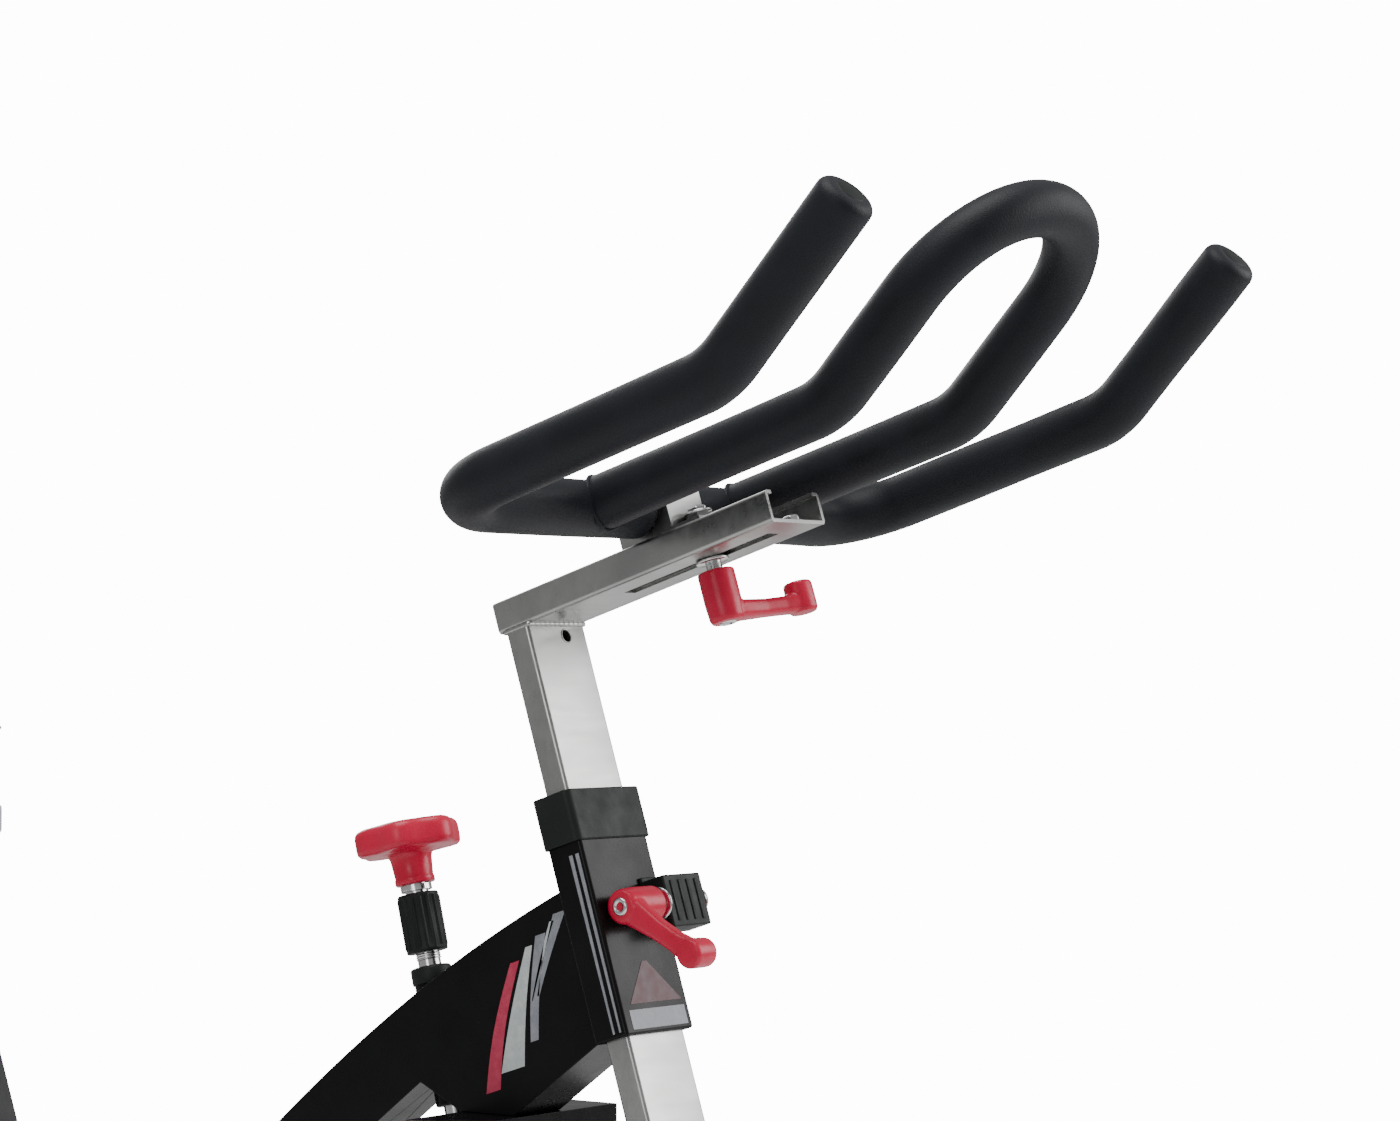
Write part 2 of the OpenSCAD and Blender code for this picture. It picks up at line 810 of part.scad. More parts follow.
// ---- handlebar ----
module handlebar_post() {
    slider_top = slider_bottom + slider_h;
    color(satin_steel) in_head() {
        difference() {
            translate([0, 0, post_bottom])
                flat_tube(post_t, post_w, post_wall, slider_bottom - post_bottom);
            translate([0, pin_hole_side, slider_bottom - 9]) rotate([0, 90, 0])
                cylinder(r = pin_hole_r, h = 40);
        }
        difference() {
            translate([slider_rear, 0, slider_bottom + slider_h / 2]) rotate([0, 90, 0])
                linear_extrude(slider_front - slider_rear) round_rect(slider_h, slider_w, corner_r);
            translate([slider_rear + 3, -slider_w / 2 + slider_wall, slider_bottom + slider_wall])
                cube([far, slider_w - 2 * slider_wall, slider_h - 2 * slider_wall]);
            translate([channel_rear, -channel_w / 2, slider_top - slider_wall - 1])
                cube([far, channel_w, 10]);
            translate([reach_lever_n - 72, -stud_slot_w / 2, slider_bottom - 1])
                cube([124, stud_slot_w, 10]);
        }
    }
}

module handlebar_carriage() {
    slider_top = slider_bottom + slider_h;
    inner_h = slider_h - 2 * slider_wall;
    color(satin_steel) in_head() difference() {
        union() {
            translate([carriage_rear, -slider_w / 2 + slider_wall + slide_gap,
                       slider_bottom + slider_wall + slide_gap])
                cube([carriage_front - carriage_rear, slider_w - 2 * slider_wall - 2 * slide_gap,
                      inner_h - 2 * slide_gap]);
            translate([bar_n - cradle_len / 2, -cradle_w / 2, slider_top - 8])
                cube([cradle_len, cradle_w, bar_t - slider_top + 24]);
            translate([bar_n, -cradle_w / 2, slider_top - 8])
                cube([carriage_front - bar_n, cradle_w, 12]);
            translate([carriage_front - 14, 0, slider_top + 3])
                cylinder(r = 8, h = 7, $fn = 6);
        }
        translate([bar_n, 0, bar_t]) y_rod(bar_d / 2 + run_gap, -40, 40);
        translate([reach_lever_n, 0, slider_bottom]) cylinder(r = stud_r + run_gap, h = 14);
    }
}

// Points on an arc about a centre, from direction u towards direction v
function arc(centre, u, v, radius, turn, steps) =
    [for (i = [0 : steps]) centre + radius * (cos(turn * i / steps) * u + sin(turn * i / steps) * v)];

knee_dir = [cos(knee_angle), 0, sin(knee_angle)];

// Centre line of one horn on the -Y side, from the crossbar to its tip
function horn_path(start, tip_end) = let (side = -horn_spacing / 2) concat(
    [[0, -start, 0]],
    arc([corner_bend, side + corner_bend, 0], [-1, 0, 0], [0, -1, 0], corner_bend, 90, 7),
    arc([horn_reach - knee_tangent, side, knee_bend], [0, 0, -1], [1, 0, 0],
        knee_bend, knee_angle, 4),
    [[horn_reach, side, 0] + tip_end * knee_dir]);

// Knee of one leg of the loop
function leg_knee(side) = arc([loop_reach - knee_tangent, side, knee_bend], [0, 0, -1], [1, 0, 0],
                              knee_bend, knee_angle, 4);

// Centre line of the loop: a leg with its knee, the half circle and the other leg
function loop_path(start) = let (side = loop_spacing / 2, back = leg_knee(side)) concat(
    [[start, -side, 0]],
    leg_knee(-side),
    arc([loop_reach, 0, 0] + (loop_tip - side) * knee_dir, [0, -1, 0], knee_dir, side, 180, 12),
    [for (i = [len(back) - 1 : -1 : 0]) back[i]],
    [[start, side, 0]]);

function unit(v) = v / norm(v);

// Direction of a path at one of its points
function heading(path, i) =
    unit(path[min(i + 1, len(path) - 1)] - path[max(i - 1, 0)]);

// Round tube outline along a path that never points straight up
module sweep(path, radius, sides = 20) {
    last = len(path) - 1;
    points = [for (i = [0 : last])
        let (ahead = heading(path, i), across = unit(cross(ahead, [0, 0, 1])),
             above = cross(across, ahead))
        for (j = [0 : sides - 1])
            path[i] + radius * (cos(360 * j / sides) * across + sin(360 * j / sides) * above)];
    skin = [for (i = [0 : last - 1], j = [0 : sides - 1])
        let (k = (j + 1) % sides)
        [i * sides + j, i * sides + k, (i + 1) * sides + k, (i + 1) * sides + j]];
    first_cap = [for (j = [sides - 1 : -1 : 0]) j];
    last_cap = [for (j = [0 : sides - 1]) last * sides + j];
    polyhedron(points, concat(skin, [first_cap, last_cap]), convexity = 8);
}

module at_crossbar() {
    in_head() translate([bar_n, 0, bar_t]) children();
}

// Straight bores of the handlebar: the crossbar, and each horn's two straight stretches
module handlebar_bores() {
    bore_r = bar_d / 2 - bar_wall;
    side = horn_spacing / 2;
    y_rod(bore_r, -side + corner_bend, side - corner_bend);
    for (s = [-1, 1]) {
        translate([corner_bend, s * side, 0]) rotate([0, 90, 0])
            cylinder(r = bore_r, h = horn_reach - knee_tangent - corner_bend);
        translate([horn_reach, s * side, 0] + (knee_tangent + 4) * knee_dir)
            rotate([0, 90 - knee_angle, 0]) cylinder(r = bore_r, h = horn_tip);
    }
}

module handlebar_tube() {
    right = horn_path(0, horn_tip - 8);
    left = [for (i = [len(right) - 1 : -1 : 1]) [right[i][0], -right[i][1], right[i][2]]];
    color(satin_steel) at_crossbar() difference() {
        union() {
            sweep(concat(left, right), bar_d / 2);
            sweep(loop_path(3), bar_d / 2 - 0.7, sides = 18);
        }
        handlebar_bores();
    }
}

module horn_foam() {
    color(foam_black) at_crossbar() difference() {
        sweep(horn_path(foam_start, horn_tip), foam_d / 2);
        sweep(horn_path(-1, horn_tip - 8 + 0.1), foam_bore);
        for (s = [-1, 1])
            translate([0, s * loop_spacing / 2, 0]) rotate([0, 90, 0])
                cylinder(r = foam_bore, h = foam_d, $fn = 24);
    }
}

module foam_right() {
    horn_foam();
}

module foam_left() {
    mirror([0, 1, 0]) horn_foam();
}

module foam_loop() {
    joint = 6;
    color(foam_black) at_crossbar() difference() {
        sweep(loop_path(foam_d / 2 - joint), foam_d / 2 - 0.5);
        sweep(loop_path(0), foam_bore);
    }
}

// ---- clamp levers ----
// Hub along +Z from the clamped face, arm along +X from the hub's far end
module clamp_lever(stud_in) {
    hub_r = 12.5;
    hub_low = 8;
    hub_high = 44;
    arm_h = 12;
    arm_w = 15;
    arm_len = 62;
    end_r = 10;
    end_h = 22;
    color(lever_red) {
        translate([0, 0, -stud_in]) cylinder(r = stud_r, h = stud_in + hub_low + 2);
        translate([0, 0, hub_low - 1.5]) cylinder(r = 10, h = 2);
        translate([0, 0, hub_low]) cylinder(r = hub_r, h = hub_high - hub_low);
        translate([0, -arm_w / 2, hub_high - arm_h - 0.5]) cube([arm_len, arm_w, arm_h]);
        translate([arm_len, 0, hub_high - end_h]) cylinder(r = end_r, h = end_h);
    }
}

// Its hub lies across the front of the sleeve, screwed into the clamp block
module head_lever() {
    arm_turn = -45;
    in_head() translate([block_n, block_right, head_lever_t]) rotate([90, 0, 0])
        rotate([0, 0, arm_turn]) clamp_lever(14);
}

module reach_lever() {
    arm_turn = 70;
    in_head() translate([reach_lever_n, 0, slider_bottom]) rotate([180, 0, 0])
        rotate([0, 0, -arm_turn]) clamp_lever(12);
}

module seat_lever() {
    arm_turn = -45;
    in_seat() translate([-sleeve_t / 2 - 1, 0, seat_lever_t]) rotate([0, -90, 0])
        rotate([0, 0, arm_turn]) rotate([0, 0, 180]) clamp_lever(4);
}

module saddle_lever() {
    arm_turn = -130;
    translate([saddle_stud_x, 0, seat_top_z]) rotate([180, 0, 0])
        rotate([0, 0, arm_turn]) clamp_lever(12);
}

// ---- seat ----
module seat_post() {
    slider_top = seat_top_z + slider_h;
    channel_half = 75;
    color(satin_steel) {
        difference() {
            in_seat() translate([0, 0, seat_post_bottom])
                flat_tube(post_t, post_w, post_wall, seat_post_top - seat_post_bottom + 12);
            translate([-far, -far, seat_top_z]) cube([2 * far, 2 * far, 2 * far]);
        }
        difference() {
            translate([seat_slider_rear, 0, seat_top_z + slider_h / 2]) rotate([0, 90, 0])
                linear_extrude(seat_slider_len) round_rect(slider_h, slider_w, corner_r);
            translate([seat_slider_rear - 1, -slider_w / 2 + slider_wall, seat_top_z + slider_wall])
                cube([seat_slider_len + 2, slider_w - 2 * slider_wall, slider_h - 2 * slider_wall]);
            translate([seat_top_x - channel_half, -channel_w / 2, slider_top - slider_wall - 1])
                cube([2 * channel_half, channel_w, 10]);
            translate([saddle_stud_x - saddle_travel - stud_slot_w / 2, -stud_slot_w / 2,
                       seat_top_z - 1])
                cube([2 * saddle_travel + stud_slot_w, stud_slot_w, 10]);
        }
    }
}

module saddle_carriage() {
    slider_top = seat_top_z + slider_h;
    rear = saddle_stud_x - 10;
    length = 102;
    color(frame_black) difference() {
        union() {
            translate([rear, -slider_w / 2 + slider_wall + slide_gap,
                       seat_top_z + slider_wall + slide_gap])
                cube([length, slider_w - 2 * slider_wall - 2 * slide_gap,
                      slider_h - 2 * slider_wall - 2 * slide_gap]);
            translate([seat_top_x - 14, -14, slider_top - 8])
                cube([28, 28, pivot_z - slider_top + 8]);
            translate([seat_top_x, 0, pivot_z]) y_rod(pivot_r, -32, 32);
        }
        translate([saddle_stud_x, 0, seat_top_z]) cylinder(r = stud_r + run_gap, h = 14);
    }
}

// Clamp that turns on the carriage's pivot and grips the two saddle rails
module saddle_clamp() {
    rail_half = 62;
    rail_y = -rail_side - 2;
    rail_z = pivot_z + 16;
    color(satin_steel) {
        mirror_pair() translate([seat_top_x, 0, pivot_z]) difference() {
            y_rod(17, -32, -16);
            y_rod(pivot_r + run_gap, -40, 0);
        }
        mirror_pair() {
            translate([seat_top_x - rail_half, rail_y, rail_z]) rotate([0, 90, 0])
                cylinder(r = rail_r, h = 2 * rail_half);
            for (end = [-1, 1])
                translate([seat_top_x + end * rail_half, rail_y, rail_z]) {
                    sphere(r = rail_r);
                    rotate([0, end * 35, 0]) cylinder(r = rail_r, h = 14);
                }
        }
    }
}

// Half width of the saddle at a distance behind its nose
function saddle_half(s) =
    24 + (saddle_w / 2 - 24) * pow(sin(90 * min(1, max(0, (s - 0.30) / 0.55))), 1.4);

// Plan outline of the saddle, rounded at nose and tail
module saddle_plan(inset) {
    steps = 16;
    side = [for (i = [0 : steps])
        let (s = i / steps, tail = max(0, (s - 0.86) / 0.14), nose = max(0, (0.09 - s) / 0.09))
        [saddle_nose_x - inset - s * (saddle_len - 2 * inset),
         (saddle_half(s) - inset) * sqrt(max(0, 1 - 0.72 * pow(tail, 2)))
             * sqrt(max(0, 1 - 0.75 * pow(nose, 2)))]];
    polygon(concat(side, [for (i = [steps : -1 : 0]) [side[i][0], -side[i][1]]]));
}

module saddle_base() {
    color(plastic_black) translate([0, 0, saddle_base_z + 12])
        linear_extrude(saddle_shell) saddle_plan(10);
}

module saddle_pad() {
    pad_low = saddle_base_z + 12 + saddle_shell;
    color(foam_black) {
        translate([0, 0, pad_low]) linear_extrude(30) saddle_plan(0);
        translate([0, 0, pad_low + 30]) linear_extrude(12) saddle_plan(9);
    }
}

main_beam();
head_sleeve();
fork_crown();
fork_blades();
base_rail();
seat_mast();
rear_stay();
front_stabilizer();
rear_stabilizer();
stabilizer_end_caps();
transport_brackets();
transport_wheel_right();
transport_wheel_left();
foot_front_right();
foot_front_left();
foot_rear_right();
foot_rear_left();
post_collars();
clamp_block();
tension_boss();
tension_knob();
tension_shaft();
tension_grip();
return_spring();
brake_pad_holder();
brake_pad();
flywheel();
flywheel_pulley();
flywheel_bearings();
flywheel_axle();
axle_nuts();
drive_belt();
drive_pulley();
guard_inner();
guard_outer();
bottom_bracket_bearings();
crank_spindle();
crank_arm_right();
crank_arm_left();
crank_bolts();
pedal_axles();
pedal_right();
pedal_left();
toe_cage_right();
toe_cage_left();
handlebar_post();
handlebar_carriage();
handlebar_tube();
foam_right();
foam_left();
foam_loop();
head_lever();
reach_lever();
seat_lever();
saddle_lever();
seat_post();
saddle_carriage();
saddle_clamp();
saddle_base();
saddle_pad();
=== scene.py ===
import json
import math
import random

import bmesh
import bpy
from mathutils import Matrix, Vector
from mathutils.bvhtree import BVHTree


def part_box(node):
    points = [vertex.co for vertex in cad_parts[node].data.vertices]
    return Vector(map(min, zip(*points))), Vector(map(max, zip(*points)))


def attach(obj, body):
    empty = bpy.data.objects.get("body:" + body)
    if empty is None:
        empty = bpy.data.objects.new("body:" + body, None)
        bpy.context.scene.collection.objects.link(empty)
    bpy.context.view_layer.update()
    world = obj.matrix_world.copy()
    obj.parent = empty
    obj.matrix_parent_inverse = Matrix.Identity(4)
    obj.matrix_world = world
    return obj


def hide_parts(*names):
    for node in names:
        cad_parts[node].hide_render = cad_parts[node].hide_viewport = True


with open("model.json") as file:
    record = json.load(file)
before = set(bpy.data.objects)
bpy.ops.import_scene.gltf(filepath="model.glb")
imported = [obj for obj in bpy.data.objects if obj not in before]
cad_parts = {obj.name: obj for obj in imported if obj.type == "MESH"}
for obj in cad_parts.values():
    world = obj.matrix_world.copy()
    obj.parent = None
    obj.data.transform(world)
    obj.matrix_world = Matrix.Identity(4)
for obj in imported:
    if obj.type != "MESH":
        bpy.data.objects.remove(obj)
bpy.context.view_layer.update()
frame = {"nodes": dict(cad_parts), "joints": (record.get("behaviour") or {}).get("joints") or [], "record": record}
JOINTS = {j["name"]: j for j in frame["joints"]}
RECORD_SLOTS = {s["node"]: s["material_slot"] for s in frame["record"]["subparts"]}

# Driving dimensions of the pieces made here, in metres
FOAM_R = 0.019
BAR_N, BAR_T = 0.1154, 0.2263
HORN_SIDE, HORN_REACH, HORN_TIP = 0.227, 0.226, 0.139
LOOP_SIDE, LOOP_REACH, LOOP_TIP = 0.076, 0.200, 0.165
KNEE_ANGLE = math.radians(29.8)
CORNER_BEND, KNEE_BEND = 0.050, 0.060
SLEEVE_T, SLEEVE_W = 0.029, 0.074
POST_T, POST_W = 0.020, 0.062
SLIDER_BOTTOM, SLIDER_TOP = 0.1825, 0.2045
LEVER_T = -0.020
BLOCK_N, BLOCK_RIGHT, BLOCK_LEFT = 0.0275, 0.015, 0.057
SEAT_LEVER_T = -0.060
REACH_N = BAR_N + 0.033
KNOB_R, KNOB_LOBES = 0.038, 6
KNOB_LOW, KNOB_HIGH, NECK_LOW = 0.108, 0.128, 0.085
GRIP_LOW, GRIP_HIGH, GRIP_R = 0.037, 0.078, 0.015
BEAM_HALF = 0.025
PEDAL_W = 0.084


# ---- frames of reference ----
def axes(origin, forward, up):
    """Matrix whose X is forward, Z is up and Y is to the left."""
    z, x = Vector(up).normalized(), Vector(forward).normalized()
    m = Matrix((x, z.cross(x), z)).transposed().to_4x4()
    m.translation = Vector(origin)
    return m


def shift(x=0.0, y=0.0, z=0.0):
    return Matrix.Translation((x, y, z))


def turn(degrees, axis):
    return Matrix.Rotation(math.radians(degrees), 4, axis)


def facing(direction, axis="Z"):
    """Rotation that points an axis along a direction."""
    return direction.to_track_quat(axis, "Y").to_matrix().to_4x4()


head_up = JOINTS["handlebar_height"]["axis"]
head_forward = JOINTS["handlebar_reach"]["axis"]
HEAD = axes(JOINTS["head_lever_turn"]["pos_m"], head_forward, head_up)
HEAD = HEAD @ shift(-BLOCK_N, -BLOCK_RIGHT, -LEVER_T)
CROSSBAR = HEAD @ shift(BAR_N, 0, BAR_T)
seat_up = JOINTS["seat_height"]["axis"]
seat_forward = [-v for v in JOINTS["seat_lever_turn"]["axis"]]
SEAT = axes(JOINTS["seat_lever_turn"]["pos_m"], seat_forward, seat_up) @ shift(SLEEVE_T / 2, 0, -SEAT_LEVER_T)
brake_down = Vector(JOINTS["knob_turn"]["axis"])
BRAKE = axes(JOINTS["knob_turn"]["pos_m"], (-brake_down.z, 0, brake_down.x), -brake_down)
SADDLE = shift(*JOINTS["saddle_tilt"]["pos_m"])
HUB = Vector(JOINTS["flywheel_spin"]["pos_m"])
BRACKET = Vector(JOINTS["crank_spin"]["pos_m"])


# ---- materials ----
class Nodes:
    """A material's node tree with short ways to add what the finishes share."""

    def __init__(self, name):
        self.material = bpy.data.materials.new(name)
        self.material.use_nodes = True
        self.tree = self.material.node_tree
        self.shader = self.tree.nodes["Principled BSDF"]
        self.place = self.add("ShaderNodeTexCoord").outputs["Object"]

    def add(self, kind, **values):
        made = self.tree.nodes.new(kind)
        for key, value in values.items():
            setattr(made, key, value)
        return made

    def link(self, start, end):
        self.tree.links.new(start, end)

    def fixed(self, **values):
        for key, value in values.items():
            self.shader.inputs[key.replace("_", " ")].default_value = value

    def stretched(self, scale):
        mapping = self.add("ShaderNodeMapping")
        mapping.inputs["Scale"].default_value = scale
        self.link(self.place, mapping.inputs["Vector"])
        return mapping.outputs["Vector"]

    def noise(self, scale, detail=4.0, rough=0.55, stretch=(1, 1, 1)):
        made = self.add("ShaderNodeTexNoise")
        made.inputs["Scale"].default_value = scale
        made.inputs["Detail"].default_value = detail
        made.inputs["Roughness"].default_value = rough
        self.link(self.stretched(stretch), made.inputs["Vector"])
        return made.outputs["Fac"]

    def cells(self, scale, feature="F1", stretch=(1, 1, 1)):
        made = self.add("ShaderNodeTexVoronoi", feature=feature)
        made.inputs["Scale"].default_value = scale
        self.link(self.stretched(stretch), made.inputs["Vector"])
        return made.outputs["Distance"]

    def ramp(self, source, low, high, start=0.3, end=0.7):
        """Maps source from start..end onto two colours or two numbers."""
        made = self.add("ShaderNodeValToRGB")
        colours = [c if hasattr(c, "__len__") else (c, c, c) for c in (low, high)]
        for element, at, colour in zip(made.color_ramp.elements, (start, end), colours):
            element.position = at
            element.color = (*colour, 1)
        self.link(source, made.inputs["Fac"])
        return made.outputs["Color"]

    def colour(self, source):
        self.link(source, self.shader.inputs["Base Color"])

    def rough(self, source):
        self.link(source, self.shader.inputs["Roughness"])

    def bump(self, *layers):
        """Layers are (height, distance in metres, strength); each adds to the one before."""
        before = None
        for height, distance, strength in layers:
            made = self.add("ShaderNodeBump")
            made.inputs["Distance"].default_value = distance
            made.inputs["Strength"].default_value = strength
            self.link(height, made.inputs["Height"])
            if before:
                self.link(before, made.inputs["Normal"])
            before = made.outputs["Normal"]
        self.link(before, self.shader.inputs["Normal"])


def frame_paint():
    n = Nodes("frame_paint")
    n.fixed(Specular_IOR_Level=0.14, Coat_Weight=0.03, Coat_Roughness=0.10)
    broad, fine = n.noise(9), n.noise(420, 2)
    n.colour(n.ramp(broad, (0.0035, 0.0035, 0.004), (0.007, 0.0065, 0.007)))
    n.rough(n.ramp(n.noise(30, 6), 0.22, 0.34))
    n.bump((fine, 0.00015, 0.25), (broad, 0.0008, 0.08))
    return n.material


def black_plastic():
    n = Nodes("black_plastic")
    n.fixed(Specular_IOR_Level=0.22)
    grain = n.cells(1100, "SMOOTH_F1")
    n.colour(n.ramp(n.noise(16), (0.008, 0.011, 0.010), (0.014, 0.018, 0.017)))
    n.rough(n.ramp(n.noise(60, 5), 0.42, 0.58))
    n.bump((grain, 0.00012, 0.5))
    return n.material


def rubber():
    n = Nodes("foot_rubber")
    n.fixed(Specular_IOR_Level=0.3)
    n.colour(n.ramp(n.noise(40), (0.018, 0.018, 0.018), (0.040, 0.039, 0.037)))
    n.rough(n.ramp(n.noise(90), 0.70, 0.86))
    n.bump((n.noise(700, 3), 0.00015, 0.5))
    return n.material


def brushed(name, low, high, rough_low, rough_high, stretch, scale=160):
    n = Nodes(name)
    n.fixed(Metallic=1.0)
    streaks = n.noise(scale, 6, 0.6, stretch)
    n.colour(n.ramp(n.noise(11, 3), low, high))
    n.rough(n.ramp(streaks, rough_low, rough_high))
    n.bump((streaks, 0.00006, 0.35), (n.noise(24), 0.0004, 0.05))
    return n.material


def satin_steel():
    return brushed("satin_steel", (0.35, 0.36, 0.35), (0.48, 0.49, 0.47), 0.26, 0.38, (1, 0.08, 0.6))


def bright_steel():
    return brushed("bright_steel", (0.66, 0.66, 0.66), (0.78, 0.78, 0.78), 0.12, 0.24, (1, 0.15, 1), 300)


def crank_steel():
    return brushed("crank_steel", (0.30, 0.30, 0.31), (0.40, 0.40, 0.41), 0.28, 0.42, (0.1, 1, 1))


def pulley_alloy():
    return brushed("pulley_alloy", (0.42, 0.42, 0.44), (0.55, 0.55, 0.57), 0.26, 0.40, (1, 4, 1), 90)


def flywheel_iron():
    n = Nodes("flywheel_iron")
    n.fixed(Metallic=0.9)
    sand = n.noise(260, 5)
    n.colour(n.ramp(n.noise(14), (0.075, 0.076, 0.080), (0.15, 0.15, 0.155)))
    n.rough(n.ramp(sand, 0.34, 0.52))
    n.bump((sand, 0.00020, 0.45))
    return n.material


def turned_steel():
    n = Nodes("turned_rim")
    n.fixed(Metallic=1.0)
    rings = n.noise(500, 3, 0.5, (0.05, 6, 0.05))
    n.colour(n.ramp(n.noise(20), (0.42, 0.42, 0.43), (0.56, 0.56, 0.56)))
    n.rough(n.ramp(rings, 0.20, 0.36))
    n.bump((rings, 0.00005, 0.3))
    return n.material


def belt_rubber():
    n = Nodes("belt_rubber")
    n.fixed(Specular_IOR_Level=0.3)
    weave = n.add("ShaderNodeTexWave", bands_direction="Y")
    weave.inputs["Scale"].default_value = 140
    n.link(n.place, weave.inputs["Vector"])
    n.colour(n.ramp(weave.outputs["Fac"], (0.012, 0.012, 0.012), (0.034, 0.034, 0.034)))
    n.rough(n.ramp(n.noise(80), 0.62, 0.80))
    n.bump((weave.outputs["Fac"], 0.0005, 0.8))
    return n.material


def brake_felt():
    n = Nodes("brake_felt")
    n.fixed(Specular_IOR_Level=0.1, Sheen_Weight=0.4, Sheen_Roughness=0.5)
    fibres = n.noise(520, 8, 0.7, (1, 1, 0.3))
    n.colour(n.ramp(fibres, (0.20, 0.18, 0.14), (0.42, 0.39, 0.33)))
    n.rough(n.ramp(fibres, 0.85, 0.98))
    n.bump((fibres, 0.0006, 0.8))
    return n.material


def red_plastic():
    n = Nodes("red_plastic")
    n.fixed(Specular_IOR_Level=0.40, Coat_Weight=0.05, Coat_Roughness=0.25)
    n.colour(n.ramp(n.noise(28, 5), (0.54, 0.006, 0.036), (0.66, 0.012, 0.058)))
    n.rough(n.ramp(n.noise(75, 4), 0.26, 0.40))
    n.bump((n.noise(600, 2), 0.0001, 0.3), (n.noise(45), 0.0004, 0.06))
    return n.material


def grip_foam():
    n = Nodes("grip_foam")
    n.fixed(Specular_IOR_Level=0.24, Sheen_Weight=0.03, Sheen_Roughness=0.5)
    pores, patches = n.cells(900, "SMOOTH_F1"), n.noise(22, 5)
    n.colour(n.ramp(patches, (0.005, 0.006, 0.009), (0.010, 0.012, 0.017)))
    n.rough(n.ramp(patches, 0.46, 0.62))
    n.bump((pores, 0.00025, 0.55), (n.noise(160, 4), 0.0004, 0.25))
    return n.material


def saddle_skin():
    n = Nodes("saddle_skin")
    n.fixed(Specular_IOR_Level=0.4)
    grain, patches = n.cells(520, "DISTANCE_TO_EDGE"), n.noise(18, 5)
    n.colour(n.ramp(patches, (0.014, 0.014, 0.015), (0.026, 0.026, 0.028)))
    n.rough(n.ramp(n.noise(120, 4), 0.38, 0.55))
    n.bump((grain, 0.00035, 0.6), (patches, 0.0010, 0.10))
    return n.material


def thread():
    n = Nodes("thread")
    n.fixed(Specular_IOR_Level=0.2, Sheen_Weight=0.3)
    twist = n.noise(900, 2, 0.5, (1, 0.3, 1))
    n.colour(n.ramp(twist, (0.40, 0.03, 0.05), (0.62, 0.07, 0.11)))
    n.rough(n.ramp(twist, 0.6, 0.8))
    n.bump((twist, 0.0002, 0.7))
    return n.material


def decal(name, low, high):
    n = Nodes(name)
    n.fixed(Specular_IOR_Level=0.4)
    print_grain = n.noise(130, 6, 0.6)
    n.colour(n.ramp(print_grain, low, high, 0.25, 0.75))
    n.rough(n.ramp(print_grain, 0.30, 0.45))
    n.bump((print_grain, 0.00005, 0.2))
    return n.material


MATERIALS = {
    "frame_paint": frame_paint(),
    "black_plastic": black_plastic(),
    "foot_rubber": rubber(),
    "satin_steel": satin_steel(),
    "bright_steel": bright_steel(),
    "flywheel_iron": flywheel_iron(),
    "pulley_alloy": pulley_alloy(),
    "crank_steel": crank_steel(),
    "belt_rubber": belt_rubber(),
    "brake_felt": brake_felt(),
    "red_plastic": red_plastic(),
    "grip_foam": grip_foam(),
    "saddle_skin": saddle_skin(),
}
TURNED = turned_steel()
THREAD = thread()
STRIPE_RED = decal("stripe_red", (0.42, 0.02, 0.06), (0.60, 0.06, 0.12))
STRIPE_WHITE = decal("stripe_white", (0.42, 0.46, 0.46), (0.62, 0.66, 0.65))
STRIPE_GREY = decal("stripe_grey", (0.20, 0.21, 0.24), (0.34, 0.35, 0.38))
STRIPE_MAROON = decal("stripe_maroon", (0.050, 0.006, 0.012), (0.085, 0.012, 0.022))


# ---- making pieces ----
def piece(name, mesh, body, slot=None, material=None, smooth=True, place=None):
    """Links a mesh into the scene as a piece that rides on a body."""
    obj = bpy.data.objects.new(name, mesh)
    bpy.context.scene.collection.objects.link(obj)
    if not mesh.materials:
        mesh.materials.append(material or MATERIALS[slot])
    mesh.polygons.foreach_set("use_smooth", [smooth] * len(mesh.polygons))
    if place is not None:
        obj.matrix_world = place
    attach(obj, body)
    return obj


def to_mesh(name, points, faces):
    mesh = bpy.data.meshes.new(name)
    mesh.from_pydata([tuple(p) for p in points], [], faces)
    mesh.validate()
    work = bmesh.new()
    work.from_mesh(mesh)
    bmesh.ops.recalc_face_normals(work, faces=work.faces)
    work.to_mesh(mesh)
    work.free()
    return mesh


def band_faces(rings, count):
    """Faces that join each ring of points to the next one."""
    faces = []
    for i in range(rings - 1):
        low, high = i * count, (i + 1) * count
        faces += [(low + j, low + (j + 1) % count, high + (j + 1) % count, high + j) for j in range(count)]
    return faces


def stacked(name, rings):
    """Closed mesh through rings of equally many points, capped with a middle point at each end."""
    count = len(rings[0])
    points = [p for ring in rings for p in ring]
    faces = band_faces(len(rings), count)
    for ring, first in ((rings[0], 0), (rings[-1], (len(rings) - 1) * count)):
        middle = len(points)
        points.append(sum((Vector(p) for p in ring), Vector()) / count)
        faces += [(middle, first + (j + 1) % count, first + j) for j in range(count)]
    return to_mesh(name, points, faces)


def lathe_rings(profile, sides=48, lobes=None):
    """Rings about +Z from (radius, height) pairs; lobes(angle, radius) may change the radius."""
    rings = []
    for radius, height in profile:
        ring = []
        for j in range(sides):
            a = 2 * math.pi * j / sides
            r = lobes(a, radius) if lobes else radius
            ring.append(Vector((r * math.cos(a), r * math.sin(a), height)))
        rings.append(ring)
    return rings


def lathe(name, profile, sides=48, lobes=None):
    return stacked(name, lathe_rings(profile, sides, lobes))


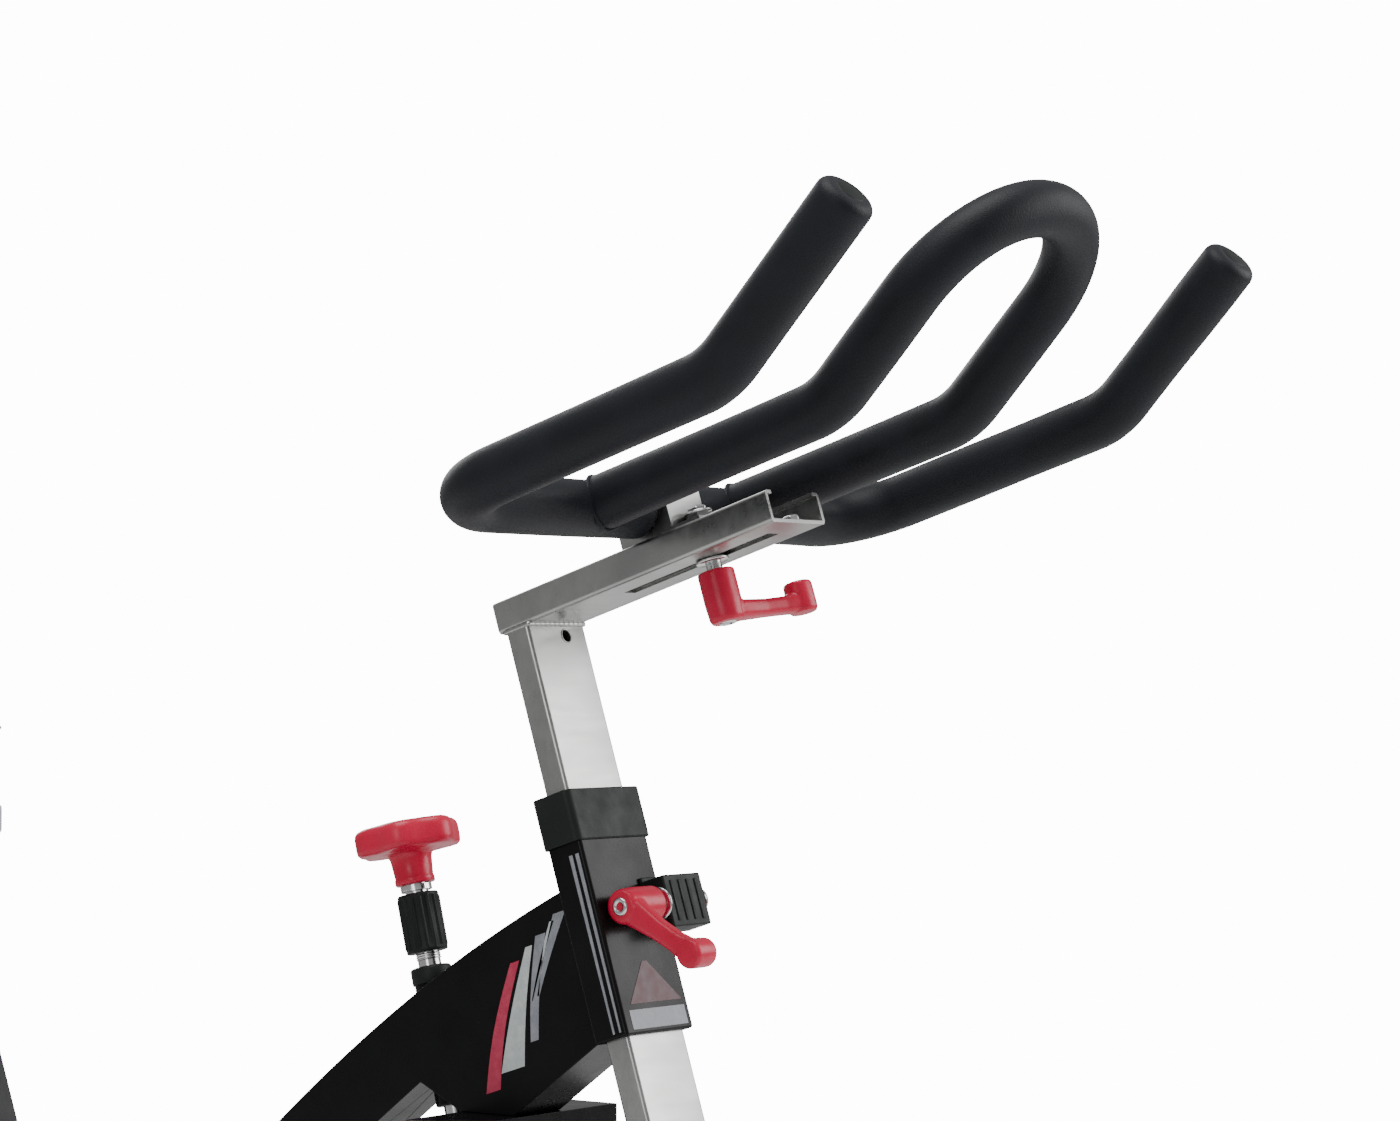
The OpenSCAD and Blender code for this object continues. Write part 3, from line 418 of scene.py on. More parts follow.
def arc(centre, u, v, radius, angle, steps):
    """Points on an arc that starts in direction u and turns towards v."""
    c, u, v = Vector(centre), Vector(u), Vector(v)
    return [
        c + radius * (math.cos(angle * i / steps) * u + math.sin(angle * i / steps) * v)
        for i in range(steps + 1)
    ]


def spaced(path, step):
    """The same path with extra points, so that none are further apart than step."""
    result = [path[0]]
    for a, b in zip(path, path[1:]):
        parts = max(1, math.ceil((b - a).length / step))
        result += [a.lerp(b, i / parts) for i in range(1, parts + 1)]
    return result


def sweep_rings(path, radius, sides):
    """Rings along a path, each turned as little as possible from the one before."""
    rings, across = [], None
    for i, p in enumerate(path):
        ahead = (path[min(i + 1, len(path) - 1)] - path[max(i - 1, 0)]).normalized()
        if across is None:
            across = ahead.orthogonal().normalized()
        across = (across - across.dot(ahead) * ahead).normalized()
        above = ahead.cross(across)
        r = radius(i) if callable(radius) else radius
        rings.append([
            p + r * (math.cos(2 * math.pi * j / sides) * across + math.sin(2 * math.pi * j / sides) * above)
            for j in range(sides)
        ])
    return rings


def swept(name, path, radius, sides=32):
    return stacked(name, sweep_rings(path, radius, sides))


def joined(name, meshes_and_places, material=None):
    """One mesh from several, each with its own place."""
    work = bmesh.new()
    for mesh, place in meshes_and_places:
        copy = mesh.copy()
        copy.transform(place)
        work.from_mesh(copy)
        bpy.data.meshes.remove(copy)
    mesh = bpy.data.meshes.new(name)
    work.to_mesh(mesh)
    work.free()
    if material:
        mesh.materials.append(material)
    return mesh


def with_modifiers(mesh, *recipes):
    """The mesh after a list of (modifier type, settings)."""
    holder = bpy.data.objects.new("holder", mesh)
    bpy.context.scene.collection.objects.link(holder)
    for kind, settings in recipes:
        modifier = holder.modifiers.new(kind, kind)
        for key, value in settings.items():
            setattr(modifier, key, value)
    depsgraph = bpy.context.evaluated_depsgraph_get()
    result = bpy.data.meshes.new_from_object(holder.evaluated_get(depsgraph))
    result.name = mesh.name + "_done"
    bpy.data.objects.remove(holder)
    return result


def box_mesh(name, low, high, fillet=0.001, segments=3):
    """A block with rounded edges between two corners."""
    work = bmesh.new()
    bmesh.ops.create_cube(work, size=1.0)
    low, high = Vector(low), Vector(high)
    for v in work.verts:
        v.co = Vector([(low[i] + high[i]) / 2 + v.co[i] * (high[i] - low[i]) for i in range(3)])
    edges = list(work.edges)
    bmesh.ops.bevel(work, geom=edges, offset=fillet, segments=segments, profile=0.5, affect="EDGES")
    mesh = bpy.data.meshes.new(name)
    work.to_mesh(mesh)
    work.free()
    return mesh


def prism(name, outline, low, high, fillet=0.0):
    """An outline in X and Z, extruded along Y from low to high, with rounded edges."""
    work = bmesh.new()
    front = [work.verts.new((x, low, z)) for x, z in outline]
    back = [work.verts.new((x, high, z)) for x, z in outline]
    work.faces.new(front)
    work.faces.new(list(reversed(back)))
    for i in range(len(outline)):
        k = (i + 1) % len(outline)
        work.faces.new((front[k], front[i], back[i], back[k]))
    bmesh.ops.recalc_face_normals(work, faces=work.faces)
    if fillet:
        sharp = [e for e in work.edges if e.calc_face_angle(0) > math.radians(30)]
        bmesh.ops.bevel(work, geom=sharp, offset=fillet, segments=3, profile=0.5, affect="EDGES")
    mesh = bpy.data.meshes.new(name)
    work.to_mesh(mesh)
    work.free()
    return mesh


# ---- CAD nodes that stay: better edges and finishes ----
ROUNDING = {"satin_steel": 0.0012, "frame_paint": 0.0015, "black_plastic": 0.0015, "crank_steel": 0.002}


def finish_cad_nodes():
    for name, obj in frame["nodes"].items():
        slot = RECORD_SLOTS[name]
        obj.data.materials.clear()
        obj.data.materials.append(MATERIALS[slot])
        custom = obj.data.attributes.get("custom_normal")
        if custom:
            obj.data.attributes.remove(custom)
        obj.data.shade_smooth()
        weld = obj.modifiers.new("weld", "WELD")
        weld.merge_threshold = 0.00001
        rounding = obj.modifiers.new("edges", "BEVEL")
        rounding.width = ROUNDING.get(slot, 0.0006)
        rounding.segments = 2
        rounding.limit_method = "ANGLE"
        rounding.angle_limit = math.radians(35)
        rounding.harden_normals = True


# ---- handlebar foam ----
KNEE_DIR = Vector((math.cos(KNEE_ANGLE), 0, math.sin(KNEE_ANGLE)))
KNEE_TANGENT = KNEE_BEND * math.tan(KNEE_ANGLE / 2)


def horn_path(start, tip):
    side = -HORN_SIDE
    return (
        [Vector((0, -start, 0))]
        + arc((CORNER_BEND, side + CORNER_BEND, 0), (-1, 0, 0), (0, -1, 0), CORNER_BEND, math.pi / 2, 16)
        + arc((HORN_REACH - KNEE_TANGENT, side, KNEE_BEND), (0, 0, -1), (1, 0, 0), KNEE_BEND, KNEE_ANGLE, 9)
        + [Vector((HORN_REACH, side, 0)) + tip * KNEE_DIR]
    )


def leg_knee(side):
    return arc((LOOP_REACH - KNEE_TANGENT, side, KNEE_BEND), (0, 0, -1), (1, 0, 0), KNEE_BEND, KNEE_ANGLE, 9)


def loop_path(start):
    side = LOOP_SIDE
    centre = Vector((LOOP_REACH, 0, 0)) + (LOOP_TIP - side) * KNEE_DIR
    return (
        [Vector((start, -side, 0))]
        + leg_knee(-side)
        + arc(centre, (0, -1, 0), KNEE_DIR, side, math.pi, 36)
        + list(reversed(leg_knee(side)))
        + [Vector((start, side, 0))]
    )


def foam_sleeve(name, path, radius, body, node, end_round, seed):
    """Foam tube with rounded ends, slightly uneven along its length as stretched foam is."""
    draw = random.Random(seed)
    waves = [(draw.uniform(18, 60), draw.uniform(0, 6.28), draw.uniform(0.00008, 0.00022)) for _ in range(4)]
    path = spaced(path, 0.006)
    along = [0.0]
    for a, b in zip(path, path[1:]):
        along.append(along[-1] + (b - a).length)
    total = along[-1]
    first, last = path[0], path[-1]
    steps = 6
    out_first, out_last = (path[0] - path[1]).normalized(), (path[-1] - path[-2]).normalized()
    inner = [p for p, s in zip(path, along) if end_round[0] < s < total - end_round[1]]
    start_points = [first - out_first * end_round[0] * (1 - math.sin(math.pi / 2 * (1 - i / steps)))
                    for i in range(steps + 1)]
    end_points = [last - out_last * end_round[1] * (1 - math.sin(math.pi / 2 * i / steps))
                  for i in range(steps + 1)]

    def shrink(distance, rounding):
        """How much smaller the sleeve is at a distance from a rounded end's tip."""
        if distance >= rounding:
            return 0.0
        return rounding - math.sqrt(max(0.0, rounding**2 - (rounding - distance) ** 2))

    full = start_points + inner + end_points

    def radius_at(i):
        p = full[i]
        s = i * total / len(full)
        uneven = sum(size * math.sin(rate * s + phase) for rate, phase, size in waves)
        cut = shrink((p - first).length, end_round[0]) + shrink((p - last).length, end_round[1])
        return radius - 0.0003 + uneven - cut

    mesh = swept(name, full, radius_at, 40)
    sleeve = piece(name, mesh, body, "grip_foam", place=CROSSBAR)
    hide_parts(node)
    return sleeve


def handlebar_foam():
    mirror = Matrix.Scale(-1, 4, (0, 1, 0))
    right = horn_path(0.024, HORN_TIP)
    left = [mirror @ p for p in right]
    foam_sleeve("horn_foam_right", right, FOAM_R, "handlebar", "foam_right", (0.003, 0.007), 3)
    foam_sleeve("horn_foam_left", left, FOAM_R, "handlebar", "foam_left", (0.003, 0.007), 5)
    foam_sleeve("loop_foam", loop_path(0.013), FOAM_R - 0.0005, "handlebar", "foam_loop", (0.001, 0.001), 7)
    plug_profile = [(0.0005, 0), (0.0085, 0), (0.0098, 0.0006), (0.0100, 0.0016), (0.0100, 0.006)]
    plug = lathe("tip_plug", plug_profile, 32)
    for name, end in (("tip_plug_right", right), ("tip_plug_left", left)):
        ahead = (end[-1] - end[-2]).normalized()
        place = CROSSBAR @ Matrix.Translation(end[-1] + ahead * 0.0004) @ facing(ahead, "-Z")
        piece(name, plug, "handlebar", "black_plastic", place=place)
    # where a leg of the loop meets the crossbar, the foam bulges into a soft collar
    joint_x, joint_bow, joint_r = 0.010, 0.0065, 0.0182
    for side in (-1, 1):
        ring = []
        for a in [2 * math.pi * i / 48 for i in range(49)]:
            c, s = math.cos(a), math.sin(a)
            ring.append(Vector((joint_x + joint_bow * abs(c), side * LOOP_SIDE + joint_r * c, joint_r * s)))
        name = "foam_joint_right" if side < 0 else "foam_joint_left"
        piece(name, swept(name, ring, 0.0016, 10), "handlebar", "grip_foam", place=CROSSBAR)


# ---- clamp levers ----
LEVER_LEN = 0.062


def moulded_lever():
    """Red lever: hub along +Z from the clamped face, tapered arm along +X, round end."""
    hub = lathe("hub", [(0.0100, 0.0085), (0.0122, 0.0090), (0.0125, 0.0100), (0.0125, 0.0300),
                        (0.0118, 0.0410), (0.0105, 0.0435), (0.0085, 0.0440)], 48)
    # the arm's sections: place along X, half width, lower and upper face
    sections = [(0.000, 0.0105, 0.0290, 0.0434), (0.012, 0.0094, 0.0304, 0.0432),
                (0.030, 0.0072, 0.0314, 0.0430), (0.046, 0.0070, 0.0312, 0.0430),
                (0.056, 0.0080, 0.0296, 0.0432), (LEVER_LEN, 0.0088, 0.0280, 0.0434)]
    corner = 0.6
    rings = []
    for x, half, low, high in sections:
        ring = []
        for j in range(24):
            a = 2 * math.pi * j / 24
            c, s = math.cos(a), math.sin(a)
            y = half * math.copysign(abs(c) ** corner, c)
            z = (low + high) / 2 + (high - low) / 2 * math.copysign(abs(s) ** corner, s)
            ring.append(Vector((x, y, z)))
        rings.append(ring)
    arm = stacked("arm", rings)
    end = lathe("end", [(0.0070, 0.0222), (0.0088, 0.0226), (0.0098, 0.0240), (0.0100, 0.0300),
                        (0.0100, 0.0410), (0.0088, 0.0434), (0.0055, 0.0440)], 40)
    whole = joined("lever", [(hub, Matrix()), (arm, Matrix()), (end, shift(LEVER_LEN))])
    return with_modifiers(
        whole,
        ("REMESH", {"mode": "VOXEL", "voxel_size": 0.0007}),
        ("SMOOTH", {"factor": 0.5, "iterations": 4}),
    )


def lever_hardware():
    """Washer, threaded stud and the screw in the hub's end, as (name, mesh) pairs."""
    washer = lathe("washer", [(0.0056, 0.0), (0.0104, 0.0), (0.0112, 0.0005), (0.0112, 0.0016),
                              (0.0104, 0.0021), (0.0056, 0.0021)], 40)
    turns, pitch, root_r, crest_r = 7, 0.0009, 0.0050, 0.0056
    profile = []
    for i in range(turns):
        z = 0.0020 + i * pitch
        profile += [(root_r, z), (crest_r, z + pitch / 2)]
    stud = lathe("stud", [(0.0049, -0.002)] + profile + [(0.0049, 0.0095)], 32)
    socket = lathe("screw", [(0.0028, 0.0436), (0.0032, 0.0450), (0.0050, 0.0450), (0.0060, 0.0444),
                             (0.0062, 0.0432), (0.0062, 0.0420)], 36)
    return (("washer", washer), ("stud", stud), ("screw", socket))


# Each lever's node, its clamped face's place and how far its hub sinks towards that face
SEAT_BOSS = 0.005
LEVER_PLACES = (
    ("head_lever", HEAD @ shift(BLOCK_N, BLOCK_RIGHT, LEVER_T) @ turn(90, "X") @ turn(-45, "Z"), 0.0),
    ("reach_lever", HEAD @ shift(REACH_N, 0, SLIDER_BOTTOM) @ turn(180, "X") @ turn(-70, "Z"), 0.0),
    ("seat_lever", SEAT @ shift(-SLEEVE_T / 2 - SEAT_BOSS, 0, SEAT_LEVER_T) @ turn(-90, "Y") @ turn(135, "Z"),
     0.004),
    ("saddle_lever", shift(*JOINTS["saddle_lever_turn"]["pos_m"]) @ turn(180, "X") @ turn(-130, "Z"), 0.0),
)


def clamp_levers():
    body_mesh, hardware = moulded_lever(), lever_hardware()
    body_mesh.materials.clear()
    body_mesh.materials.append(MATERIALS["red_plastic"])
    for name, place, sunk in LEVER_PLACES:
        red = piece(f"{name}_moulding", body_mesh, name, "red_plastic", place=place @ shift(z=-sunk))
        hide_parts(name)
        for part, mesh in hardware:
            lift = -sunk if part == "screw" else 0.0004
            piece(f"{name}_{part}", mesh, name, "bright_steel", place=place @ shift(z=lift))


# ---- brake knob and grip ----
def brake_control():
    def lobes(angle, radius):
        depth = 0.0045 * min(1.0, (radius / KNOB_R) ** 3)
        return radius - depth * (1 - math.cos(KNOB_LOBES * angle)) / 2

    neck = [(0.0085, NECK_LOW), (0.0135, NECK_LOW), (0.0142, NECK_LOW + 0.001), (0.0142, NECK_LOW + 0.004),
            (0.0136, NECK_LOW + 0.005), (0.0148, KNOB_LOW - 0.005), (0.0165, KNOB_LOW - 0.0005)]
    disc = [(0.0250, KNOB_LOW), (KNOB_R - 0.0025, KNOB_LOW + 0.0004), (KNOB_R - 0.0006, KNOB_LOW + 0.002),
            (KNOB_R, KNOB_LOW + 0.005), (KNOB_R, KNOB_HIGH - 0.007), (KNOB_R - 0.0007, KNOB_HIGH - 0.0038),
            (KNOB_R - 0.0025, KNOB_HIGH - 0.0018), (KNOB_R - 0.0055, KNOB_HIGH - 0.0006),
            (KNOB_R - 0.0110, KNOB_HIGH), (0.0130, KNOB_HIGH), (0.0118, KNOB_HIGH - 0.0008),
            (0.0110, KNOB_HIGH - 0.0012), (0.0060, KNOB_HIGH - 0.0014)]
    knob_mesh = lathe("brake_knob", neck + disc, 144, lobes)
    knob = piece("brake_knob", knob_mesh, "knob", "red_plastic", place=BRAKE)
    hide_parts("tension_knob")
    button = lathe("knob_button", [(0.0100, KNOB_HIGH - 0.0015), (0.0104, KNOB_HIGH - 0.0007),
                                   (0.0098, KNOB_HIGH - 0.0001), (0.0060, KNOB_HIGH), (0.001, KNOB_HIGH)], 40)
    piece("knob_button", button, "knob", "black_plastic", place=BRAKE)

    ribs = 16

    def ribbed(angle, radius):
        swell = max(0.0, math.cos(ribs * angle)) ** 1.5
        return radius - 0.0014 * (1 - swell) if radius > GRIP_R - 0.0006 else radius

    edge = 0.0025
    grip = [(0.0125, GRIP_LOW), (0.0138, GRIP_LOW), (0.0144, GRIP_LOW + 0.0006), (0.0144, GRIP_LOW + edge),
            (GRIP_R, GRIP_LOW + edge + 0.001), (GRIP_R, GRIP_HIGH - edge - 0.001), (0.0144, GRIP_HIGH - edge),
            (0.0144, GRIP_HIGH - 0.0010), (0.0136, GRIP_HIGH), (0.0086, GRIP_HIGH)]
    grip_mesh = lathe("brake_grip", grip, 192, ribbed)
    sleeve = piece("brake_grip", grip_mesh, "brake_rod", "black_plastic", place=BRAKE)
    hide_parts("tension_grip")

    def threads(low, high, pitch, inner, outer):
        """Profile of a threaded stretch of the shaft."""
        profile = [(inner, low)]
        while low + pitch < high:
            profile += [(outer, low + pitch * 0.35), (outer, low + pitch * 0.65), (inner, low + pitch)]
            low += pitch
        return profile

    collar = lathe("shaft_collar", [(0.0082, 0.0800), (0.0105, 0.0800), (0.0110, 0.0806), (0.0110, 0.0834),
                                    (0.0105, 0.0840), (0.0082, 0.0840)], 40)
    piece("shaft_collar", collar, "brake_rod", "bright_steel", place=BRAKE)
    rod = lathe("shaft_thread", threads(GRIP_LOW - 0.0055, GRIP_LOW - 0.0002, 0.00155, 0.0080, 0.0087), 40)
    piece("shaft_thread", rod, "brake_rod", "bright_steel", place=BRAKE)
    ring = [(0.0128, 0.0145), (0.0140, 0.0150), (0.0143, 0.0158), (0.0143, 0.0252), (0.0137, 0.0262),
            (0.0125, 0.0268), (0.0088, 0.0270)]
    piece("boss_bushing", lathe("boss_bushing", ring, 48), "frame", "black_plastic", place=BRAKE)


# ---- stripes, and painted highlight strips ----
def flat_strip(name, outline, place, material, body, side=1):
    """Thin film in a plane: outline points are (across, up) in the place's X and Z."""
    film = 0.00025
    mesh = prism(name, outline, 0.0, film * side)
    mesh.materials.append(material)
    return piece(name, mesh, body, material=material, smooth=False, place=place)


def curved_band(low, high, low_width, high_width, bow, steps=10):
    """Outline of a band between two points that bows sideways and changes width."""
    left, right = [], []
    for i in range(steps + 1):
        t = i / steps
        x = low[0] + (high[0] - low[0]) * t + bow * math.sin(math.pi * t)
        z = low[1] + (high[1] - low[1]) * t
        half = (low_width + (high_width - low_width) * t) / 2
        left.append((x - half, z))
        right.append((x + half, z))
    return left + right[::-1]


def stripes_and_painted_highlights():
    bands = (
        ("red", STRIPE_RED, curved_band((-0.117, -0.110), (-0.073, -0.031), 0.013, 0.008, -0.004)),
        ("white", STRIPE_WHITE, curved_band((-0.096, -0.100), (-0.058, -0.024), 0.021, 0.006, -0.002)),
        ("grey_1", STRIPE_GREY, curved_band((-0.072, -0.086), (-0.046, -0.019), 0.007, 0.009, -0.002)),
        ("grey_2", STRIPE_GREY, curved_band((-0.060, -0.058), (-0.026, -0.009), 0.002, 0.011, -0.001)),
        ("white_2", STRIPE_WHITE, curved_band((-0.066, -0.060), (-0.034, -0.013), 0.001, 0.004, -0.001)),
    )
    for side, word in ((-1, "right"), (1, "left")):
        for name, material, outline in bands:
            place = HEAD @ shift(y=side * BEAM_HALF)
            flat_strip(f"stripe_{name}_{word}", outline, place, material, "frame", side)
        # two pale grey strips on each side face of the head sleeve, near its front corner, are a painted highlight
        # of the sleeve's edge
        for i, n in enumerate((0.0095, 0.0040)):
            edge = curved_band((n, -0.100), (n, 0.022), 0.0016, 0.0030, 0.0)
            place = HEAD @ shift(y=side * SLEEVE_W / 2)
            flat_strip(f"pinstripe_{i}_{word}", edge, place, STRIPE_GREY, "frame", side)
    front = HEAD @ shift(SLEEVE_T / 2) @ turn(-90, "Z")
    peak = [(-0.030, -0.083), (0.026, -0.083), (0.003, -0.055), (-0.002, -0.055)]
    flat_strip("front_peak", peak, front, STRIPE_MAROON, "frame")
    plate = [(-0.031, -0.100), (0.029, -0.100), (0.029, -0.087), (-0.031, -0.087)]
    flat_strip("front_plate", plate, front, STRIPE_GREY, "frame")


# ---- weld beads ----
def weld_bead(name, path, body, radius=0.0022, seed=1, slot="frame_paint"):
    """A rippled bead along a path, as a row of overlapping welds leaves."""
    path = spaced(path, 0.0009)

    def ripple(i):
        return radius * (0.82 + 0.18 * abs(math.sin(i * 0.55 + seed)))

    return piece(name, swept(name, path, ripple, 10), body, slot)


def in_place(place, points):
    return [place @ Vector(p) for p in points]


def welds():
    x, y = POST_T / 2 + 0.0005, POST_W / 2 - 0.001
    z = SLIDER_BOTTOM - 0.0006
    post = [(x, y, z), (x, -y, z), (-x, -y, z), (-x, y, z), (x, y, z)]
    weld_bead("weld_slider", in_place(HEAD, post), "handlebar_mast", 0.0018, 2, "satin_steel")
    for side, word in ((-1, "right"), (1, "left")):
        rear, across = -SLEEVE_T / 2 - 0.0004, side * (BEAM_HALF + 0.0008)
        weld_bead(f"weld_sleeve_{word}", in_place(HEAD, [(rear, across, -0.100), (rear, across, -0.004)]),
                  "frame", 0.0024, 3 + side)
    mast_front, low, high = 0.0235, -0.30, -0.235
    for across, word, seed in ((-0.026, "right", 4), (0.026, "left", 5)):
        line = in_place(SEAT, [(mast_front, across, low), (mast_front, across, high)])
        weld_bead(f"weld_mast_{word}", line, "frame", 0.0024, seed)


# ---- handlebar clamp details ----
def hex_bolt(name, place, body, radius, height):
    """Six-sided bolt head on a washer, standing along the place's Z."""
    profile = [(0.0010, height), (radius * 0.80, height), (radius, height * 0.80), (radius, 0.0012)]
    head = lathe(name, profile, 6)
    washer = lathe(name + "_washer", [(0.0045, 0.0), (radius * 1.35, 0.0), (radius * 1.42, 0.0005),
                                      (radius * 1.42, 0.0012), (0.0045, 0.0016)], 36)
    piece(name, with_modifiers(head, ("BEVEL", {"width": 0.0005, "segments": 2})), body, "bright_steel",
          smooth=False, place=place)
    piece(name + "_washer", washer, body, "bright_steel", place=place)


def clamp_details():
    top = SLIDER_TOP + 0.004
    hex_bolt("carriage_bolt_cap", HEAD @ shift(BAR_N + 0.031, 0, top + 0.006), "handlebar", 0.0070, 0.0050)
    plate = box_mesh("crossbar_cap", (-0.021, -0.0185, 0.0135), (0.021, 0.0185, 0.0165), 0.0012)
    piece("crossbar_cap", plate, "handlebar", "satin_steel", place=CROSSBAR)
    for i, (n, y) in enumerate(((0.015, 0.011), (0.015, -0.011))):
        hex_bolt(f"cap_bolt_{i}", CROSSBAR @ shift(n, y, 0.0165), "handlebar", 0.0048, 0.0042)
    plug = box_mesh("slider_end_plug", (-0.0185, -0.0270, SLIDER_BOTTOM + 0.0030),
                    (-0.0160, 0.0270, SLIDER_TOP - 0.0030), 0.0010)
    piece("slider_end_plug", plug, "handlebar_mast", "satin_steel", place=HEAD)
    rim = arc((POST_T / 2 + 0.0002, 0.008, 0.1735), (0, 1, 0), (0, 0, 1), 0.0047, 2 * math.pi, 32)
    piece("pin_hole_rim", swept("pin_hole_rim", rim, 0.0005, 8), "handlebar_mast", "satin_steel", place=HEAD)


def clamp_block_details():
    """Ribs, a foot plate and the stud's nut on the moulded block that holds the head lever."""
    low, high = LEVER_T - 0.018, LEVER_T + 0.018
    front = BLOCK_N + 0.0075
    for i in range(4):
        y = BLOCK_RIGHT + 0.006 + i * 0.009
        rib = box_mesh(f"block_rib_{i}", (front - 0.0006, y, low + 0.004),
                       (front + 0.0009, y + 0.0026, high - 0.004), 0.0005)
        piece(f"block_rib_{i}", rib, "frame", "black_plastic", place=HEAD)
    foot = box_mesh("block_foot", (SLEEVE_T / 2 - 0.0004, BLOCK_RIGHT + 0.0003, low - 0.003),
                    (SLEEVE_T / 2 + 0.0024, SLEEVE_W / 2 - 0.001, high + 0.003), 0.0009)
    piece("block_foot", foot, "frame", "black_plastic", place=HEAD)
    nut_place = HEAD @ shift(BLOCK_N, BLOCK_LEFT, LEVER_T) @ turn(-90, "X")
    hex_bolt("block_nut", nut_place, "frame", 0.0060, 0.0045)


def slider_bolt():
    """Travel stop inside the slider's open front end."""
    place = HEAD @ shift(0.211, 0.008, SLIDER_BOTTOM + 0.0026)
    hex_bolt("slider_stop", place, "handlebar_mast", 0.0062, 0.0060)


# ---- saddle ----
SADDLE_LEN, SADDLE_W = 0.270, 0.206
NOSE_X = 0.105


def saddle_half(s):
    rise = math.sin(math.pi / 2 * min(1.0, max(0.0, (s - 0.30) / 0.55)))
    return 0.024 + (SADDLE_W / 2 - 0.024) * rise**1.4


def saddle_outline(inset, steps=40):
    """Plan outline about the pivot, rounded at the nose and the tail."""
    side = []
    for i in range(steps + 1):
        s = 0.5 - 0.5 * math.cos(math.pi * i / steps)
        tail, nose = max(0.0, (s - 0.86) / 0.14), max(0.0, (0.09 - s) / 0.09)
        narrow = math.sqrt(max(0.0, 1 - 0.72 * tail**2)) * math.sqrt(max(0.0, 1 - 0.75 * nose**2))
        x = NOSE_X - inset - s * (SADDLE_LEN - 2 * inset)
        side.append((x, max(0.004, (saddle_half(s) - inset) * narrow)))
    return side + [(x, -y) for x, y in reversed(side)]


def saddle_surface_drop(x, y):
    """How far the saddle's top dips: a channel along the middle and a fall towards nose and edges."""
    s = (NOSE_X - x) / SADDLE_LEN
    half = saddle_half(s)
    channel_depth, nose_drop, edge_drop = 0.005, 0.010, 0.007
    fade = min(1.0, max(0.0, (s - 0.22) * 5)) * min(1.0, max(0.0, (0.95 - s) * 8))
    channel = channel_depth * math.exp(-((y / 0.009) ** 2)) * fade
    nose = nose_drop * max(0.0, 0.25 - s) / 0.25
    crown = edge_drop * (y / half) ** 2
    return channel + nose + crown


def saddle_pad():
    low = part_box("saddle_pad")[0].z - SADDLE.translation.z
    # how far the outline is drawn in at each height over the pad's underside
    levels = [(0.010, 0.0005), (0.004, 0.0012), (0.0022, 0.004), (0.0022, 0.016), (0.0030, 0.024),
              (0.0065, 0.031), (0.0130, 0.0355), (0.0210, 0.0375)]
    rings = []
    for inset, height in levels:
        ring = []
        for x, y in saddle_outline(inset):
            drop = saddle_surface_drop(x, y) * min(1.0, height / 0.036)
            ring.append(Vector((x, y, low + height - drop)))
        rings.append(ring)
    work = bmesh.new()
    count = len(rings[0])
    grid = [[work.verts.new(p) for p in ring] for ring in rings]
    for a, b in zip(grid, grid[1:]):
        for j in range(count):
            k = (j + 1) % count
            work.faces.new((a[j], a[k], b[k], b[j]))
    half = count // 2
    for ring in (grid[0], grid[-1]):
        across = 9
        rows = []
        for j in range(half):
            p, q = ring[j], ring[count - 1 - j]
            row = [p]
            for i in range(1, across):
                v = p.co.lerp(q.co, i / across)
                if ring is grid[-1]:
                    v.z = low + levels[-1][1] + 0.0012 - saddle_surface_drop(v.x, v.y)
                row.append(work.verts.new(v))
            rows.append(row + [q])
        for a, b in zip(rows, rows[1:]):
            for i in range(across):
                work.faces.new((a[i], a[i + 1], b[i + 1], b[i]))
    bmesh.ops.recalc_face_normals(work, faces=work.faces)
    start = bpy.data.meshes.new("saddle_start")
    work.to_mesh(start)
    work.free()
    mesh = inflated(start, low + 0.003)
    mesh.materials.clear()
    mesh.materials.append(MATERIALS["saddle_skin"])
    pad = piece("saddle_cushion", mesh, "saddle", "saddle_skin", place=SADDLE)
    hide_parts("saddle_pad")
    saddle_seams(mesh, low)
    return pad


def inflated(start, pinned_below):
    """The pad's skin, swollen by cloth simulation with its underside held."""
    base = with_modifiers(start, ("REMESH", {"mode": "VOXEL", "voxel_size": 0.005}))
    holder = bpy.data.objects.new("pad_simulation", base)
    bpy.context.scene.collection.objects.link(holder)
    group = holder.vertex_groups.new(name="held")
    group.add([v.index for v in base.vertices if v.co.z < pinned_below], 1.0, "REPLACE")
    rest = [v.co.copy() for v in base.vertices]
    cloth = holder.modifiers.new("cloth", "CLOTH")
    settings = cloth.settings
    settings.use_pressure = True
    settings.uniform_pressure_force = 4
    settings.effector_weights.gravity = 0
    settings.vertex_group_mass = "held"
    settings.tension_stiffness = 30
    settings.compression_stiffness = 30
    last_frame, cap = 20, 0.005
    cloth.point_cache.frame_start, cloth.point_cache.frame_end = 1, last_frame
    scene = bpy.context.scene
    for number in range(1, last_frame + 1):
        scene.frame_set(number)
    swollen = bpy.data.meshes.new_from_object(holder.evaluated_get(bpy.context.evaluated_depsgraph_get()))
    for v, p in zip(swollen.vertices, rest):
        move = v.co - p
        if move.length > cap:
            v.co = p + move.normalized() * cap
    holder.modifiers.clear()
    bpy.data.objects.remove(holder)
    scene.frame_set(1)
    return with_modifiers(
        swollen,
        ("SMOOTH", {"factor": 0.5, "iterations": 2}),
        ("SUBSURF", {"levels": 1, "render_levels": 1}),
    )


